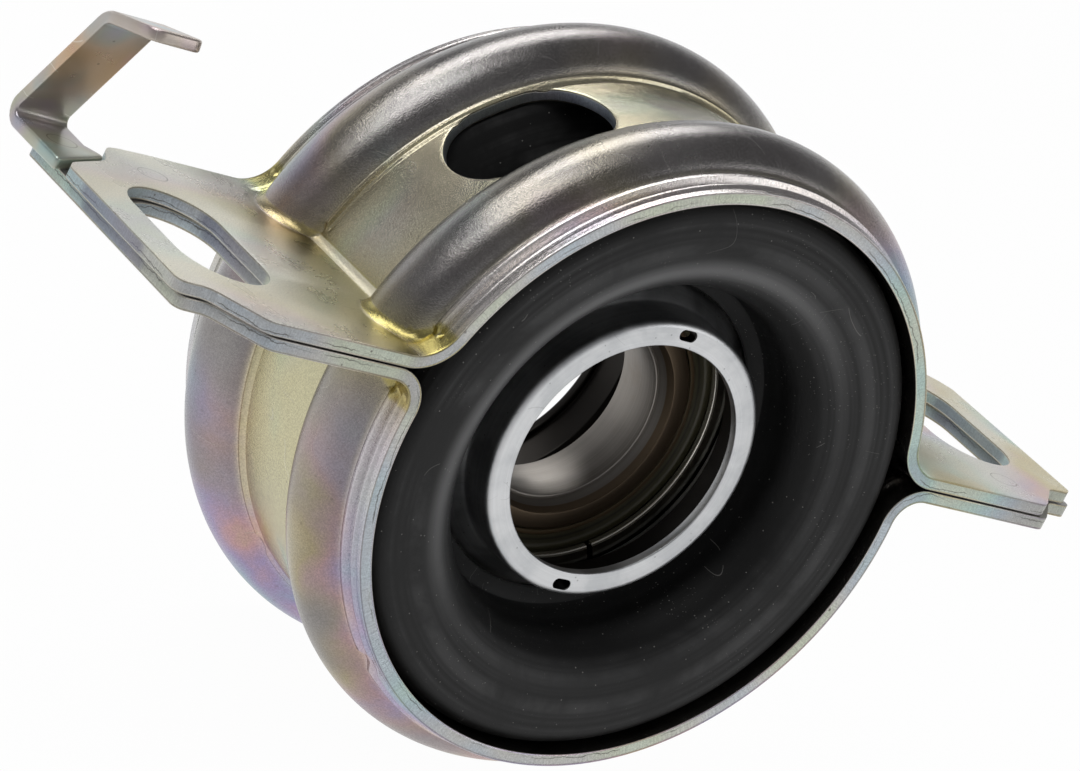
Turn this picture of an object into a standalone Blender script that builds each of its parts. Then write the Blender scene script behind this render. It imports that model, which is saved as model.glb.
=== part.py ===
"""Driveshaft centre bearing: a ball bearing in a rubber ring, held by a two-piece stamped housing.

The housing's two ears are bolted under a crossmember. X runs along the ears, Y along the shaft with
the front at -Y, and Z is up. The origin lies on the ears' upper face, midway between their two slots.
Every length below is in metres.
"""

import math

import bmesh
import bpy
from mathutils import Matrix, Vector

# Sheet metal of the housing
SHEET = 0.0020
SEAM = 0.0003
CLEAR = 0.0003

# Ball bearing: its bore and its section, with the radii between as shares of that section
BORE_R = 0.0150
SECTION = 0.0125
BEARING_R = BORE_R + SECTION
INNER_RING_SHARE = 0.368
CAGE_INNER_SHARE = 0.424
PITCH_SHARE = 0.520
CAGE_OUTER_SHARE = 0.616
OUTER_RING_SHARE = 0.672
BALL_SHARE = 0.344
INNER_RING_R = BORE_R + INNER_RING_SHARE * SECTION
CAGE_INNER_R = BORE_R + CAGE_INNER_SHARE * SECTION
PITCH_R = BORE_R + PITCH_SHARE * SECTION
CAGE_OUTER_R = BORE_R + CAGE_OUTER_SHARE * SECTION
OUTER_RING_BORE_R = BORE_R + OUTER_RING_SHARE * SECTION
BALL_R = BALL_SHARE * SECTION
BALL_COUNT = 9
BALL_PLAY = 0.0003
BORE_CHAMFER = 0.0013
OUTER_CHAMFER = 0.0008

# Cage, seals and rivets, which set the bearing's width
CAGE_SHEET = 0.00055
CAGE_GAP = 0.0002
POCKET_PLAY = 0.0002
SEAL_ROOM = 0.00015
SEAL_SHEET = 0.0008
SEAL_RECESS = 0.0002
SEAL_SEAT = 0.0007
SEAL_SEAT_LAND = BALL_R + POCKET_PLAY + CAGE_SHEET + SEAL_ROOM
BEARING_HALF_WIDTH = SEAL_SEAT_LAND + CLEAR + SEAL_SHEET + SEAL_RECESS
RIVET_SHARE = 0.188
RIVET_HEAD_SHARE = 0.354
RIVET_R = RIVET_SHARE * (CAGE_OUTER_R - CAGE_INNER_R)
RIVET_HEAD_R = RIVET_HEAD_SHARE * (CAGE_OUTER_R - CAGE_INNER_R)
RIVET_HEAD = 0.0004
RIVET_CROWN = 0.7

# Carrier sleeve round the bearing, its snap ring, and the depth of rubber round the sleeve
CARRIER_WALL = 0.0018
CARRIER_REACH = 0.0047
CARRIER_R = BEARING_R + CLEAR + CARRIER_WALL
CARRIER_FRONT = BEARING_HALF_WIDTH + CARRIER_REACH
SNAP_SHARE = 0.656
SNAP_R = BORE_R + SNAP_SHARE * SECTION
SNAP_THICKNESS = 0.0012
SNAP_GROOVE = 0.0009
SNAP_GAP_ANGLE = math.radians(-57)
SNAP_GAP_HALF = math.radians(2.2)
RUBBER_DEPTH = 0.0162
RUBBER_BORE_R = CARRIER_R + CLEAR
RUBBER_SEAT_R = RUBBER_BORE_R + RUBBER_DEPTH

# Housing: half shells around the shaft's axis
SHAFT_DROP = 0.01145
HOUSING_BORE_R = RUBBER_SEAT_R + CLEAR
HALF_WIDTH = 0.0278
UPPER_BEND_R = 0.0064
LOWER_BEND_R = 0.0042
SHELL_R = HOUSING_BORE_R + SHEET

# The two stiffening ribs, and the step between each rib and the edge of the sheet
RIB_EDGE = 0.0114
RIB_Y = HALF_WIDTH - RIB_EDGE
RIB_HALF_WIDTH = 0.0070
RIB_HEIGHT = 0.0053
RIB_FADE = 0.0075
STEP_HEIGHT = 0.0010
STEP_WIDTH = 0.0018
STEP_RAMP = 0.0006

# Ears, and how far the lower pair sits to the right of the upper one
EAR_LENGTH = 0.0337
EAR_TIP_X = SHELL_R + UPPER_BEND_R + EAR_LENGTH
EAR_FRONT_CUT = 0.0076
EAR_FRONT_Y = HALF_WIDTH - EAR_FRONT_CUT
EAR_FRONT_FLAT = 0.0050
EAR_FRONT_INSET = 0.0112
EAR_REAR_CUT = 0.0125
EAR_REAR_Y = HALF_WIDTH - EAR_REAR_CUT
EAR_REAR_INSET = 0.0130
EAR_CORNER_R = 0.0020
LOWER_EAR_SHIFT = 0.0013
SLOT_SHARE = 0.418
SLOT_X = EAR_TIP_X - SLOT_SHARE * EAR_LENGTH
SLOT_Y = -0.0010
SLOT_LENGTH = 0.0290
SLOT_WIDTH = 0.0156

# Window in the top of the upper shell, between the ribs
WINDOW_TILT = math.radians(35.5)
WINDOW_LAND = 0.0006
WINDOW_WIDTH = 2 * (RIB_Y - RIB_HALF_WIDTH - WINDOW_LAND)
WINDOW_STRAIGHT = 0.0092
WINDOW_LENGTH = WINDOW_WIDTH + WINDOW_STRAIGHT

# Hook bracket on the left ear: a folded strip
HOOK_SHEET = 0.0019
HOOK_WIDTH = 0.0093
HOOK_OVERHANG = 0.0011
HOOK_REACH = 0.0040
HOOK_BEND_Y = HALF_WIDTH + HOOK_REACH
HOOK_LEAN = 0.0116
HOOK_HEIGHT = 0.0202
HOOK_FLANGE = 0.0125
HOOK_FLANGE_RISE = math.radians(13.4)
HOOK_TIGHT_R = 0.0010
HOOK_WIDE_R = 0.0030
HOOK_END_GAP = 0.0008

# The two covers
COVER_WALL = 0.0017
COVER_SETBACK = 0.00745
COVER_FACE = HALF_WIDTH - COVER_SETBACK
COVER_NECK_SHARE = 0.664
COVER_NECK_R = BORE_R + COVER_NECK_SHARE * SECTION
OPENING_SHARE = 0.348
COVER_OPENING_R = BORE_R + OPENING_SHARE * SECTION
REAR_OPENING_SHARE = 0.448
REAR_OPENING_R = BORE_R + REAR_OPENING_SHARE * SECTION
COVER_FOOT = 0.0015
COVER_CORNER = 0.0010
DRAIN_SHARE = 0.53
DRAIN_R = COVER_OPENING_R + DRAIN_SHARE * (COVER_NECK_R - COVER_OPENING_R)
DRAIN_LENGTH = 0.0033
DRAIN_WIDTH = 0.0018

# Shape of the rubber ring
RUBBER_LIP = 0.0006
RUBBER_WALL_R = RUBBER_BORE_R - RUBBER_LIP
RUBBER_SHOULDER = 0.0022
RUBBER_SHOULDER_R = RUBBER_SEAT_R - RUBBER_SHOULDER
CREST_SHARE = 0.63
RUBBER_CREST_R = RUBBER_WALL_R + CREST_SHARE * (RUBBER_SHOULDER_R - RUBBER_WALL_R)
RUBBER_SETBACK = 0.0009
RUBBER_CREST = HALF_WIDTH - RUBBER_SETBACK
SEAT_SHARE = 0.50
RUBBER_SEAT_END = SEAT_SHARE * HALF_WIDTH
GROOVE_SHARE = 0.31
RUBBER_GROOVE_HALF = GROOVE_SHARE * HALF_WIDTH
GROOVE_DEPTH_SHARE = 0.50
RUBBER_GROOVE_R = RUBBER_SEAT_R - GROOVE_DEPTH_SHARE * (RUBBER_SEAT_R - RUBBER_BORE_R)

RING_STEPS = 36
SMALL_STEPS = 6
AXIS_Z = -SHAFT_DROP
CUTTER_REACH = 0.02


def clear_scene():
    """Remove what the startup scene holds."""
    for obj in list(bpy.data.objects):
        bpy.data.objects.remove(obj, do_unlink=True)


def new_collection(name, hidden=False):
    """Add a collection to the scene."""
    collection = bpy.data.collections.new(name)
    collection.hide_render = hidden
    bpy.context.scene.collection.children.link(collection)
    return collection


def finish(name, colour, roughness, metallic):
    """A plain Principled material."""
    material = bpy.data.materials.new(name)
    material.use_nodes = True
    shader = material.node_tree.nodes["Principled BSDF"]
    shader.inputs["Base Color"].default_value = (*colour, 1.0)
    shader.inputs["Roughness"].default_value = roughness
    shader.inputs["Metallic"].default_value = metallic
    return material


def add_object(name, mesh, collection, material=None, parent=None):
    """Link a mesh as an object, with its material and its parent."""
    obj = bpy.data.objects.new(name, mesh)
    collection.objects.link(obj)
    if material:
        mesh.materials.append(material)
    obj.parent = parent
    return obj


def mesh_from(name, build):
    """A mesh that one function fills through bmesh."""
    bm = bmesh.new()
    build(bm)
    mesh = bpy.data.meshes.new(name)
    bm.to_mesh(mesh)
    bm.free()
    return mesh


def smooth(mesh, degrees=35):
    """Shade round faces smooth and keep the corners sharp."""
    mesh.shade_smooth()
    mesh.set_sharp_from_angle(angle=math.radians(degrees))


def arc(centre, radius, start, end, steps):
    """Points on an arc, both ends included."""
    angles = [start + (end - start) * k / steps for k in range(steps + 1)]
    return [(centre[0] + radius * math.cos(a), centre[1] + radius * math.sin(a)) for a in angles]


def rounded(points, radius, steps=3):
    """A closed outline with each corner replaced by a curve, limited by its shorter side."""
    outline = []
    for k, corner in enumerate(points):
        corner = Vector(corner)
        before = Vector(points[k - 1]) - corner
        after = Vector(points[(k + 1) % len(points)]) - corner
        half = before.angle(after) / 2
        run = min(radius / math.tan(half), 0.45 * before.length, 0.45 * after.length)
        start = corner + before.normalized() * run
        end = corner + after.normalized() * run
        for step in range(steps + 1):
            t = step / steps
            outline.append((1 - t) ** 2 * start + 2 * t * (1 - t) * corner + t ** 2 * end)
    return outline


def obround(length, width, steps=6):
    """A slot's outline: two half circles joined by straight sides, the long way along X."""
    radius = width / 2
    reach = length / 2 - radius
    right = arc((reach, 0), radius, -math.pi / 2, math.pi / 2, steps)
    left = arc((-reach, 0), radius, math.pi / 2, 3 * math.pi / 2, steps)
    return right + left


def prism(bm, outline, low, high):
    """An outline in XY made solid between two heights."""
    face = bm.faces.new([bm.verts.new((x, y, low)) for x, y in outline])
    grown = bmesh.ops.extrude_face_region(bm, geom=[face])
    moved = [item for item in grown["geom"] if isinstance(item, bmesh.types.BMVert)]
    bmesh.ops.translate(bm, verts=moved, vec=(0, 0, high - low))
    bmesh.ops.recalc_face_normals(bm, faces=bm.faces)


def cutter(name, outline, low, high, place=None, parent=None):
    """A prism that only cuts."""
    mesh = mesh_from(name, lambda bm: prism(bm, outline, low, high))
    obj = add_object(name, mesh, CUTTERS, parent=parent)
    obj.hide_render = True
    obj.display_type = "WIRE"
    if place:
        obj.matrix_local = place
    return obj


def boolean(obj, other, operation="DIFFERENCE"):
    """Cut one object by another, or keep what they share."""
    modifier = obj.modifiers.new(other.name, "BOOLEAN")
    modifier.operation = operation
    modifier.solver = "EXACT"
    modifier.object = other


def turned(name, profile, material, parent, steps=RING_STEPS):
    """A ring turned round its parent's axis. Its profile is (radius, distance to the front)."""

    def build(bm):
        verts = [bm.verts.new((r, 0, s)) for r, s in profile]
        for k, vert in enumerate(verts):
            bm.edges.new((vert, verts[(k + 1) % len(verts)]))

    obj = add_object(name, mesh_from(name, build), PARTS, material, parent)
    screw = obj.modifiers.new("Turn", "SCREW")
    screw.angle = 2 * math.pi
    screw.steps = steps
    screw.render_steps = steps
    screw.use_merge_vertices = True
    screw.merge_threshold = 0.00001
    screw.use_smooth_shade = False
    return obj


def rib_profile(steps):
    """The sheet's height over its plain radius, from the front edge to the rear edge."""
    radius = (RIB_HALF_WIDTH ** 2 + RIB_HEIGHT ** 2) / (2 * RIB_HEIGHT)
    half = math.asin(RIB_HALF_WIDTH / radius)
    rib = []
    for k in range(steps + 1):
        angle = half * (2 * k / steps - 1)
        height = radius * math.cos(angle) - (radius - RIB_HEIGHT)
        rib.append((radius * math.sin(angle), height))
    foot = RIB_Y + RIB_HALF_WIDTH
    rear = [(RIB_Y + y, height) for y, height in rib[:-1]]
    rear += [
        (foot - STEP_RAMP, STEP_HEIGHT),
        (foot + STEP_WIDTH, STEP_HEIGHT),
        (foot + STEP_WIDTH + STEP_RAMP, 0),
        (HALF_WIDTH, 0),
    ]
    front = [(-y, height) for y, height in reversed(rear)]
    return front + rear


def smoothstep(value):
    """Ease from 0 to 1."""
    value = min(max(value, 0.0), 1.0)
    return value * value * (3 - 2 * value)


def shell_path(side, bend_r, face_height, arc_steps, bend_steps):
    """Half of a shell's outer face seen from the front, from its crown to the ear's tip.

    side is 1 for the upper shell and -1 for the lower one. Each station is its point, its outward
    normal and the share of the ribs' height that it keeps.
    """
    centre_z = face_height + side * bend_r
    centre_x = math.sqrt((SHELL_R + bend_r) ** 2 - centre_z ** 2)
    meet = math.atan2(centre_z, centre_x)
    stations = []
    for k in range(arc_steps + 1):
        angle = side * math.pi / 2 + (meet - side * math.pi / 2) * k / arc_steps
        normal = (math.cos(angle), math.sin(angle))
        above = abs(angle - meet) * SHELL_R
        keep = smoothstep((above + bend_r / 2) / (RIB_FADE + bend_r / 2))
        stations.append((SHELL_R * normal[0], SHELL_R * normal[1], normal, keep))
    last = -side * math.pi / 2
    first = meet - side * math.pi
    for k in range(1, bend_steps + 1):
        angle = first + (last - first) * k / bend_steps
        inward = (-math.cos(angle), -math.sin(angle))
        below = abs(angle - first) * bend_r
        keep = smoothstep((bend_r / 2 - below) / (RIB_FADE + bend_r / 2))
        x = centre_x - bend_r * inward[0]
        z = centre_z - bend_r * inward[1]
        stations.append((x, z, inward, keep))
    for x in ((centre_x + EAR_TIP_X) / 2, EAR_TIP_X + CUTTER_REACH / 4):
        stations.append((x, face_height, (0, side), 0))
    return stations


def half_shell(name, side, bend_r, face_height, arc_steps, material):
    """A stamped shell: half of its outer face, mirrored, then given the sheet's thickness."""
    stations = shell_path(side, bend_r, face_height, arc_steps, 4)
    profile = rib_profile(5)

    def build(bm):
        rows = []
        for x, z, normal, keep in stations:
            row = []
            for y, height in profile:
                lift = height * keep
                row.append(bm.verts.new((x + normal[0] * lift, y, z + normal[1] * lift + AXIS_Z)))
            rows.append(row)
        for here, there in zip(rows, rows[1:]):
            for k in range(len(profile) - 1):
                corners = (here[k], here[k + 1], there[k + 1], there[k])
                bm.faces.new(corners if side < 0 else corners[::-1])

    mesh = mesh_from(name, build)
    smooth(mesh)
    obj = add_object(name, mesh, PARTS, material)
    mirror = obj.modifiers.new("Mirror", "MIRROR")
    mirror.merge_threshold = 0.00001
    solidify = obj.modifiers.new("Sheet", "SOLIDIFY")
    solidify.thickness = SHEET
    solidify.offset = -1
    return obj


def ear_outline(full_left):
    """The shells' outline from above. full_left keeps the left ear's rear corner."""
    reach = HALF_WIDTH + CUTTER_REACH
    slope_front = (HALF_WIDTH - EAR_FRONT_Y) / (EAR_FRONT_INSET - EAR_FRONT_FLAT)
    slope_rear = (HALF_WIDTH - EAR_REAR_Y) / EAR_REAR_INSET
    knee = EAR_TIP_X - EAR_FRONT_FLAT
    front_x = knee - (reach - EAR_FRONT_Y) / slope_front
    rear_x = EAR_TIP_X - (reach - EAR_REAR_Y) / slope_rear
    right = [(front_x, -reach), (knee, -EAR_FRONT_Y), (EAR_TIP_X, -EAR_FRONT_Y)]
    right += [(EAR_TIP_X, EAR_REAR_Y), (rear_x, reach)]
    left = [(-x, y) for x, y in reversed(right)]
    if full_left:
        left[0:2] = [(-EAR_TIP_X, reach)]
    return rounded(right + left, EAR_CORNER_R)


def cut_ears(shell, full_left, shift):
    """Trim the ears to their outline and cut their slots."""
    deep = -2 * SHELL_R
    aside = Matrix.Translation((shift, 0, 0))
    outline = cutter(shell.name + "_outline", ear_outline(full_left), deep, 2 * SHELL_R, aside)
    boolean(shell, outline, "INTERSECT")
    slot = [(-y, x) for x, y in obround(SLOT_LENGTH, SLOT_WIDTH)]
    for side, word in ((-1, "left"), (1, "right")):
        place = Matrix.Translation((side * SLOT_X + shift, SLOT_Y, 0))
        hole = cutter(f"{shell.name}_{word}_slot", slot, -CUTTER_REACH, CUTTER_REACH, place)
        boolean(shell, hole)


def make_housing(zinc):
    """The upper and lower shells, welded together at the ears."""
    upper_face = SHAFT_DROP
    lower_face = SHAFT_DROP - 2 * SHEET - SEAM
    upper = half_shell("upper_shell", 1, UPPER_BEND_R, upper_face, 11, zinc)
    lower = half_shell("lower_shell", -1, LOWER_BEND_R, lower_face, 14, zinc)
    cut_ears(upper, False, 0)
    cut_ears(lower, True, LOWER_EAR_SHIFT)
    turn = Matrix.Translation((0, 0, AXIS_Z)) @ Matrix.Rotation(-WINDOW_TILT, 4, "Y")
    outline = obround(WINDOW_LENGTH, WINDOW_WIDTH)
    window = cutter("window", outline, HOUSING_BORE_R - CUTTER_REACH / 2, SHELL_R + CUTTER_REACH, turn)
    boolean(upper, window)


def hook_line():
    """The inner face of the hook's strip from the side, as (y, z), from the foot to the flange's end."""
    foot_z = -SHEET - SEAM + CLEAR + HOOK_SHEET
    bend = Vector((HOOK_BEND_Y, foot_z))
    top = Vector((HOOK_BEND_Y - HOOK_LEAN, foot_z + HOOK_HEIGHT))
    end = top + HOOK_FLANGE * Vector((-math.cos(HOOK_FLANGE_RISE), math.sin(HOOK_FLANGE_RISE)))
    foot = Vector((0.0, foot_z))
    line = [foot]
    for before, corner, after, radius in ((foot, bend, top, HOOK_TIGHT_R), (bend, top, end, HOOK_WIDE_R)):
        back = (before - corner).normalized()
        onward = (after - corner).normalized()
        half = back.angle(onward) / 2
        run = radius / math.tan(half)
        centre = corner + (back + onward).normalized() * (radius / math.sin(half))
        first = corner + back * run - centre
        last = corner + onward * run - centre
        turn = first.angle_signed(last)
        for k in range(5):
            point = first.copy()
            point.rotate(Matrix.Rotation(-turn * k / 4, 2))
            line.append(centre + point)
    line.append(end)
    return line


def make_hook(zinc):
    """The hook bracket, whose foot is welded on the lower sheet beside the cut-back upper one."""
    outer_x = -EAR_TIP_X - HOOK_OVERHANG
    line = hook_line()

    def build(bm):
        near = [bm.verts.new((outer_x, y, z)) for y, z in line]
        far = [bm.verts.new((outer_x + HOOK_WIDTH, y, z)) for y, z in line]
        for k in range(len(line) - 1):
            bm.faces.new((near[k], far[k], far[k + 1], near[k + 1]))

    obj = add_object("hook_bracket", mesh_from("hook_bracket", build), PARTS, zinc)
    solidify = obj.modifiers.new("Sheet", "SOLIDIFY")
    solidify.thickness = HOOK_SHEET
    solidify.offset = -1
    solidify.use_even_offset = True
    slope = (HALF_WIDTH - EAR_REAR_Y) / EAR_REAR_INSET
    edge_y = EAR_REAR_Y + HOOK_END_GAP * math.hypot(1, slope)
    side_x = EAR_TIP_X - HOOK_WIDTH - CUTTER_REACH
    side_y = edge_y + slope * (EAR_TIP_X - side_x)
    far_x = EAR_TIP_X + CUTTER_REACH
    far_y = edge_y - slope * CUTTER_REACH
    outline = [(-far_x, -CUTTER_REACH), (-side_x, -CUTTER_REACH), (-side_x, side_y), (-far_x, far_y)]
    trim = cutter("hook_foot_trim", outline, -CUTTER_REACH / 2, HOOK_HEIGHT / 2)
    boolean(obj, trim)


def groove(side, steps=4):
    """A ring's ball groove as (radius, front distance), from the rear shoulder to the front one."""
    shoulder = INNER_RING_R if side < 0 else OUTER_RING_BORE_R
    radius = BALL_R + BALL_PLAY
    half = math.acos(abs(shoulder - PITCH_R) / radius)
    points = []
    for k in range(steps + 1):
        angle = half * (2 * k / steps - 1)
        points.append((PITCH_R + side * radius * math.cos(angle), radius * math.sin(angle)))
    return points


def make_inner_ring(steel, parent):
    """The bearing's inner ring, which turns with the shaft."""
    face = BEARING_HALF_WIDTH
    outer = [(BORE_R + BORE_CHAMFER, face), (INNER_RING_R, face)]
    outer += groove(-1)[::-1]
    outer += [(INNER_RING_R, -face), (BORE_R + BORE_CHAMFER, -face)]
    bore = [(BORE_R, -face + BORE_CHAMFER), (BORE_R, face - BORE_CHAMFER)]
    turned("inner_ring", outer + bore, steel, parent)


def make_outer_ring(steel, parent):
    """The bearing's outer ring, with a seat for a seal on each side."""
    face = BEARING_HALF_WIDTH
    seat_r = OUTER_RING_BORE_R + SEAL_SEAT
    seat = SEAL_SEAT_LAND
    outer = [(seat_r, face), (BEARING_R - OUTER_CHAMFER, face), (BEARING_R, face - OUTER_CHAMFER)]
    outer += [(BEARING_R, -face + OUTER_CHAMFER), (BEARING_R - OUTER_CHAMFER, -face)]
    bore = [(seat_r, -face), (seat_r, -seat), (OUTER_RING_BORE_R, -seat)]
    bore += groove(1)
    bore += [(OUTER_RING_BORE_R, seat), (seat_r, seat)]
    turned("outer_ring", outer + bore, steel, parent)


def make_seals(black, parent):
    """A flat seal in each side of the outer ring, clear of the turning inner ring."""
    outer_r = OUTER_RING_BORE_R + SEAL_SEAT - CLEAR
    inner_r = INNER_RING_R + CLEAR
    near = SEAL_SEAT_LAND + CLEAR
    far = near + SEAL_SHEET
    for name, low, high in (("front_seal", near, far), ("rear_seal", -far, -near)):
        ring = [(inner_r, high), (outer_r, high), (outer_r, low), (inner_r, low)]
        turned(name, ring, black, parent)


def make_balls(steel, parent):
    """The balls, spaced evenly round the pitch circle."""
    mesh = mesh_from("ball", lambda bm: bmesh.ops.create_uvsphere(
        bm, u_segments=12, v_segments=7, radius=BALL_R))
    mesh.shade_smooth()
    mesh.materials.append(steel)
    for k in range(BALL_COUNT):
        angle = 2 * math.pi * k / BALL_COUNT
        ball = add_object(f"ball_{k + 1:02d}", mesh, PARTS, parent=parent)
        ball.location = (PITCH_R * math.cos(angle), PITCH_R * math.sin(angle), 0)


def cage_wave(along):
    """Height of the cage's ball side over the middle plane, at a distance from a ball's centre."""
    pocket = BALL_R + POCKET_PLAY
    if abs(along) >= pocket:
        return CAGE_GAP
    return max(CAGE_GAP, math.sqrt(pocket ** 2 - along ** 2))


def make_cage_half(name, side, metal, parent):
    """Half of the pressed cage: a ribbon that waves round the balls, with a rivet hole at each flat."""
    pitch = 2 * math.pi / BALL_COUNT
    pocket = (BALL_R + POCKET_PLAY) / PITCH_R
    marks = [-pitch / 2, -pocket]
    marks += [pocket * math.sin(math.radians(angle)) for angle in (-54, -20, 20, 54)]
    marks += [pocket]

    def build(bm):
        rings = []
        for ball in range(BALL_COUNT):
            for mark in marks:
                angle = ball * pitch + mark
                height = side * cage_wave(mark * PITCH_R)
                pair = []
                for radius in (CAGE_INNER_R, CAGE_OUTER_R):
                    at = (radius * math.cos(angle), radius * math.sin(angle), height)
                    pair.append(bm.verts.new(at))
                rings.append(pair)
        for k, here in enumerate(rings):
            there = rings[(k + 1) % len(rings)]
            corners = (here[0], here[1], there[1], there[0])
            bm.faces.new(corners if side > 0 else corners[::-1])

    obj = add_object(name, mesh_from(name, build), PARTS, metal, parent)
    solidify = obj.modifiers.new("Sheet", "SOLIDIFY")
    solidify.thickness = CAGE_SHEET
    solidify.offset = 1
    for k in range(BALL_COUNT):
        angle = (k + 0.5) * pitch
        middle = (CAGE_INNER_R + CAGE_OUTER_R) / 2
        place = Matrix.Translation((middle * math.cos(angle), middle * math.sin(angle), 0))
        first = angle + math.pi / SMALL_STEPS
        hole = arc((0, 0), RIVET_R + POCKET_PLAY / 2, first, first + 2 * math.pi, SMALL_STEPS)[:-1]
        boolean(obj, cutter(f"{name}_hole_{k + 1}", hole, -BALL_R / 2, BALL_R / 2, place, parent))


def make_rivets(metal, parent):
    """A rivet with two heads between each pair of balls."""
    face = CAGE_GAP + CAGE_SHEET + POCKET_PLAY / 2
    top = face + RIVET_HEAD
    profile = [(0, top), (RIVET_HEAD_R * RIVET_CROWN, top), (RIVET_HEAD_R, face), (RIVET_R, face)]
    profile += [(RIVET_R, -face), (RIVET_HEAD_R, -face), (RIVET_HEAD_R * RIVET_CROWN, -top), (0, -top)]
    middle = (CAGE_INNER_R + CAGE_OUTER_R) / 2
    for k in range(BALL_COUNT):
        angle = 2 * math.pi * (k + 0.5) / BALL_COUNT
        rivet = turned(f"rivet_{k + 1:02d}", profile, metal, parent, SMALL_STEPS)
        rivet.location = (middle * math.cos(angle), middle * math.sin(angle), 0)


def make_carrier(zinc, parent):
    """The sleeve that holds the bearing between its rear flange and the snap ring."""
    bore_r = BEARING_R + CLEAR
    outer_r = CARRIER_R
    groove_r = bore_r + SNAP_GROOVE
    snap_near = BEARING_HALF_WIDTH + CLEAR / 2
    snap_far = snap_near + SNAP_THICKNESS + CLEAR
    rear = BEARING_HALF_WIDTH + CLEAR
    flange_r = OUTER_RING_BORE_R + SEAL_SEAT
    profile = [(bore_r, CARRIER_FRONT), (outer_r, CARRIER_FRONT), (outer_r, -rear - CARRIER_WALL)]
    profile += [(flange_r, -rear - CARRIER_WALL), (flange_r, -rear), (bore_r, -rear)]
    profile += [(bore_r, snap_near), (groove_r, snap_near), (groove_r, snap_far), (bore_r, snap_far)]
    turned("bearing_carrier", profile, zinc, parent)


def make_snap_ring(steel, parent):
    """The open ring in the carrier's groove, in front of the bearing."""
    low = BEARING_HALF_WIDTH + CLEAR
    high = low + SNAP_THICKNESS
    outer_r = BEARING_R + CLEAR + SNAP_GROOVE - CLEAR
    ring = [(SNAP_R, high), (outer_r, high), (outer_r, low), (SNAP_R, low)]
    obj = turned("snap_ring", ring, steel, parent)
    reach = BEARING_R + CUTTER_REACH
    gap = [(0, 0)]
    for side in (-1, 1):
        angle = SNAP_GAP_ANGLE - side * SNAP_GAP_HALF
        gap.append((reach * math.cos(angle), reach * math.sin(angle)))
    boolean(obj, cutter("snap_gap", gap, 0, 2 * high, parent=parent))


def cover_profile(opening_r, foot, foot_r):
    """A pressed cover as (radius, distance from the bearing's middle), from its face to its foot."""
    wall = COVER_WALL
    slant = wall * math.tan(math.radians(22.5))
    face = COVER_FACE
    heel = foot + COVER_FOOT
    neck_end = heel + foot_r - COVER_NECK_R
    outer = [(opening_r, face), (COVER_NECK_R - COVER_CORNER, face)]
    outer += [(COVER_NECK_R, face - COVER_CORNER), (COVER_NECK_R, neck_end), (foot_r, heel)]
    outer += [(foot_r, foot), (foot_r - wall, foot), (foot_r - wall, heel - slant)]
    inner = [(COVER_NECK_R - wall, neck_end - slant), (COVER_NECK_R - wall, face - wall)]
    return outer + inner + [(opening_r, face - wall)]


def make_covers(plate, parent):
    """The front cover, pressed into the carrier, and the rear cover, seated on its flange."""
    foot = BEARING_HALF_WIDTH + 2 * CLEAR + SNAP_THICKNESS
    front = turned("front_cover", cover_profile(COVER_OPENING_R, foot, BEARING_R), plate, parent)
    rear_foot = BEARING_HALF_WIDTH + 2 * CLEAR + CARRIER_WALL
    rear = cover_profile(REAR_OPENING_R, rear_foot, BEARING_R)
    turned("rear_cover", [(r, -s) for r, s in reversed(rear)], plate, parent)
    for word, side in (("top", 1), ("bottom", -1)):
        place = Matrix.Translation((0, side * DRAIN_R, 0))
        low = COVER_FACE - COVER_WALL * 2
        hole = cutter(f"drain_{word}", obround(DRAIN_LENGTH, DRAIN_WIDTH, 3), low,
                      COVER_FACE + COVER_WALL, place, parent)
        boolean(front, hole)


def rubber_half():
    """The rubber's section in front of its middle, from its bore round its face to its groove."""
    inside = RUBBER_CREST_R - RUBBER_WALL_R
    outside = RUBBER_SHOULDER_R - RUBBER_CREST_R
    floor = CARRIER_FRONT + CLEAR
    section = [(RUBBER_BORE_R, floor), (RUBBER_WALL_R, floor), (RUBBER_WALL_R, RUBBER_CREST - inside)]
    for angle, reach in ((150, inside), (118, inside), (90, inside), (60, outside), (30, outside), (0, outside)):
        turn = math.radians(angle)
        height = RUBBER_CREST - reach + reach * math.sin(turn)
        section.append((RUBBER_CREST_R + reach * math.cos(turn), height))
    section.append((RUBBER_SHOULDER_R, RUBBER_SEAT_END + RUBBER_SHOULDER))
    section += [(RUBBER_SEAT_R, RUBBER_SEAT_END), (RUBBER_SEAT_R, RUBBER_GROOVE_HALF)]
    section += [(RUBBER_GROOVE_R, RUBBER_GROOVE_HALF / 2)]
    return section


def make_rubber(rubber, parent):
    """The rubber ring between the carrier and the housing, alike in front and behind."""
    front = rubber_half()
    profile = front + [(r, -s) for r, s in reversed(front)]
    turned("rubber_ring", profile, rubber, parent)


clear_scene()
PARTS = new_collection("driveshaft_centre_bearing")
CUTTERS = new_collection("cutters", hidden=True)

shaft_axis = bpy.data.objects.new("shaft_axis", None)
PARTS.objects.link(shaft_axis)
shaft_axis.location = (0, 0, AXIS_Z)
shaft_axis.rotation_euler = (math.pi / 2, 0, 0)

yellow_zinc = finish("yellow_zinc", (0.56, 0.53, 0.40), 0.32, 1.0)
bright_zinc = finish("bright_zinc", (0.62, 0.63, 0.64), 0.40, 1.0)
ground_steel = finish("ground_steel", (0.58, 0.56, 0.54), 0.22, 1.0)
cage_steel = finish("cage_steel", (0.50, 0.48, 0.44), 0.35, 1.0)
black_rubber = finish("black_rubber", (0.020, 0.020, 0.021), 0.62, 0.0)
seal_rubber = finish("seal_rubber", (0.030, 0.026, 0.020), 0.45, 0.0)

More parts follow.
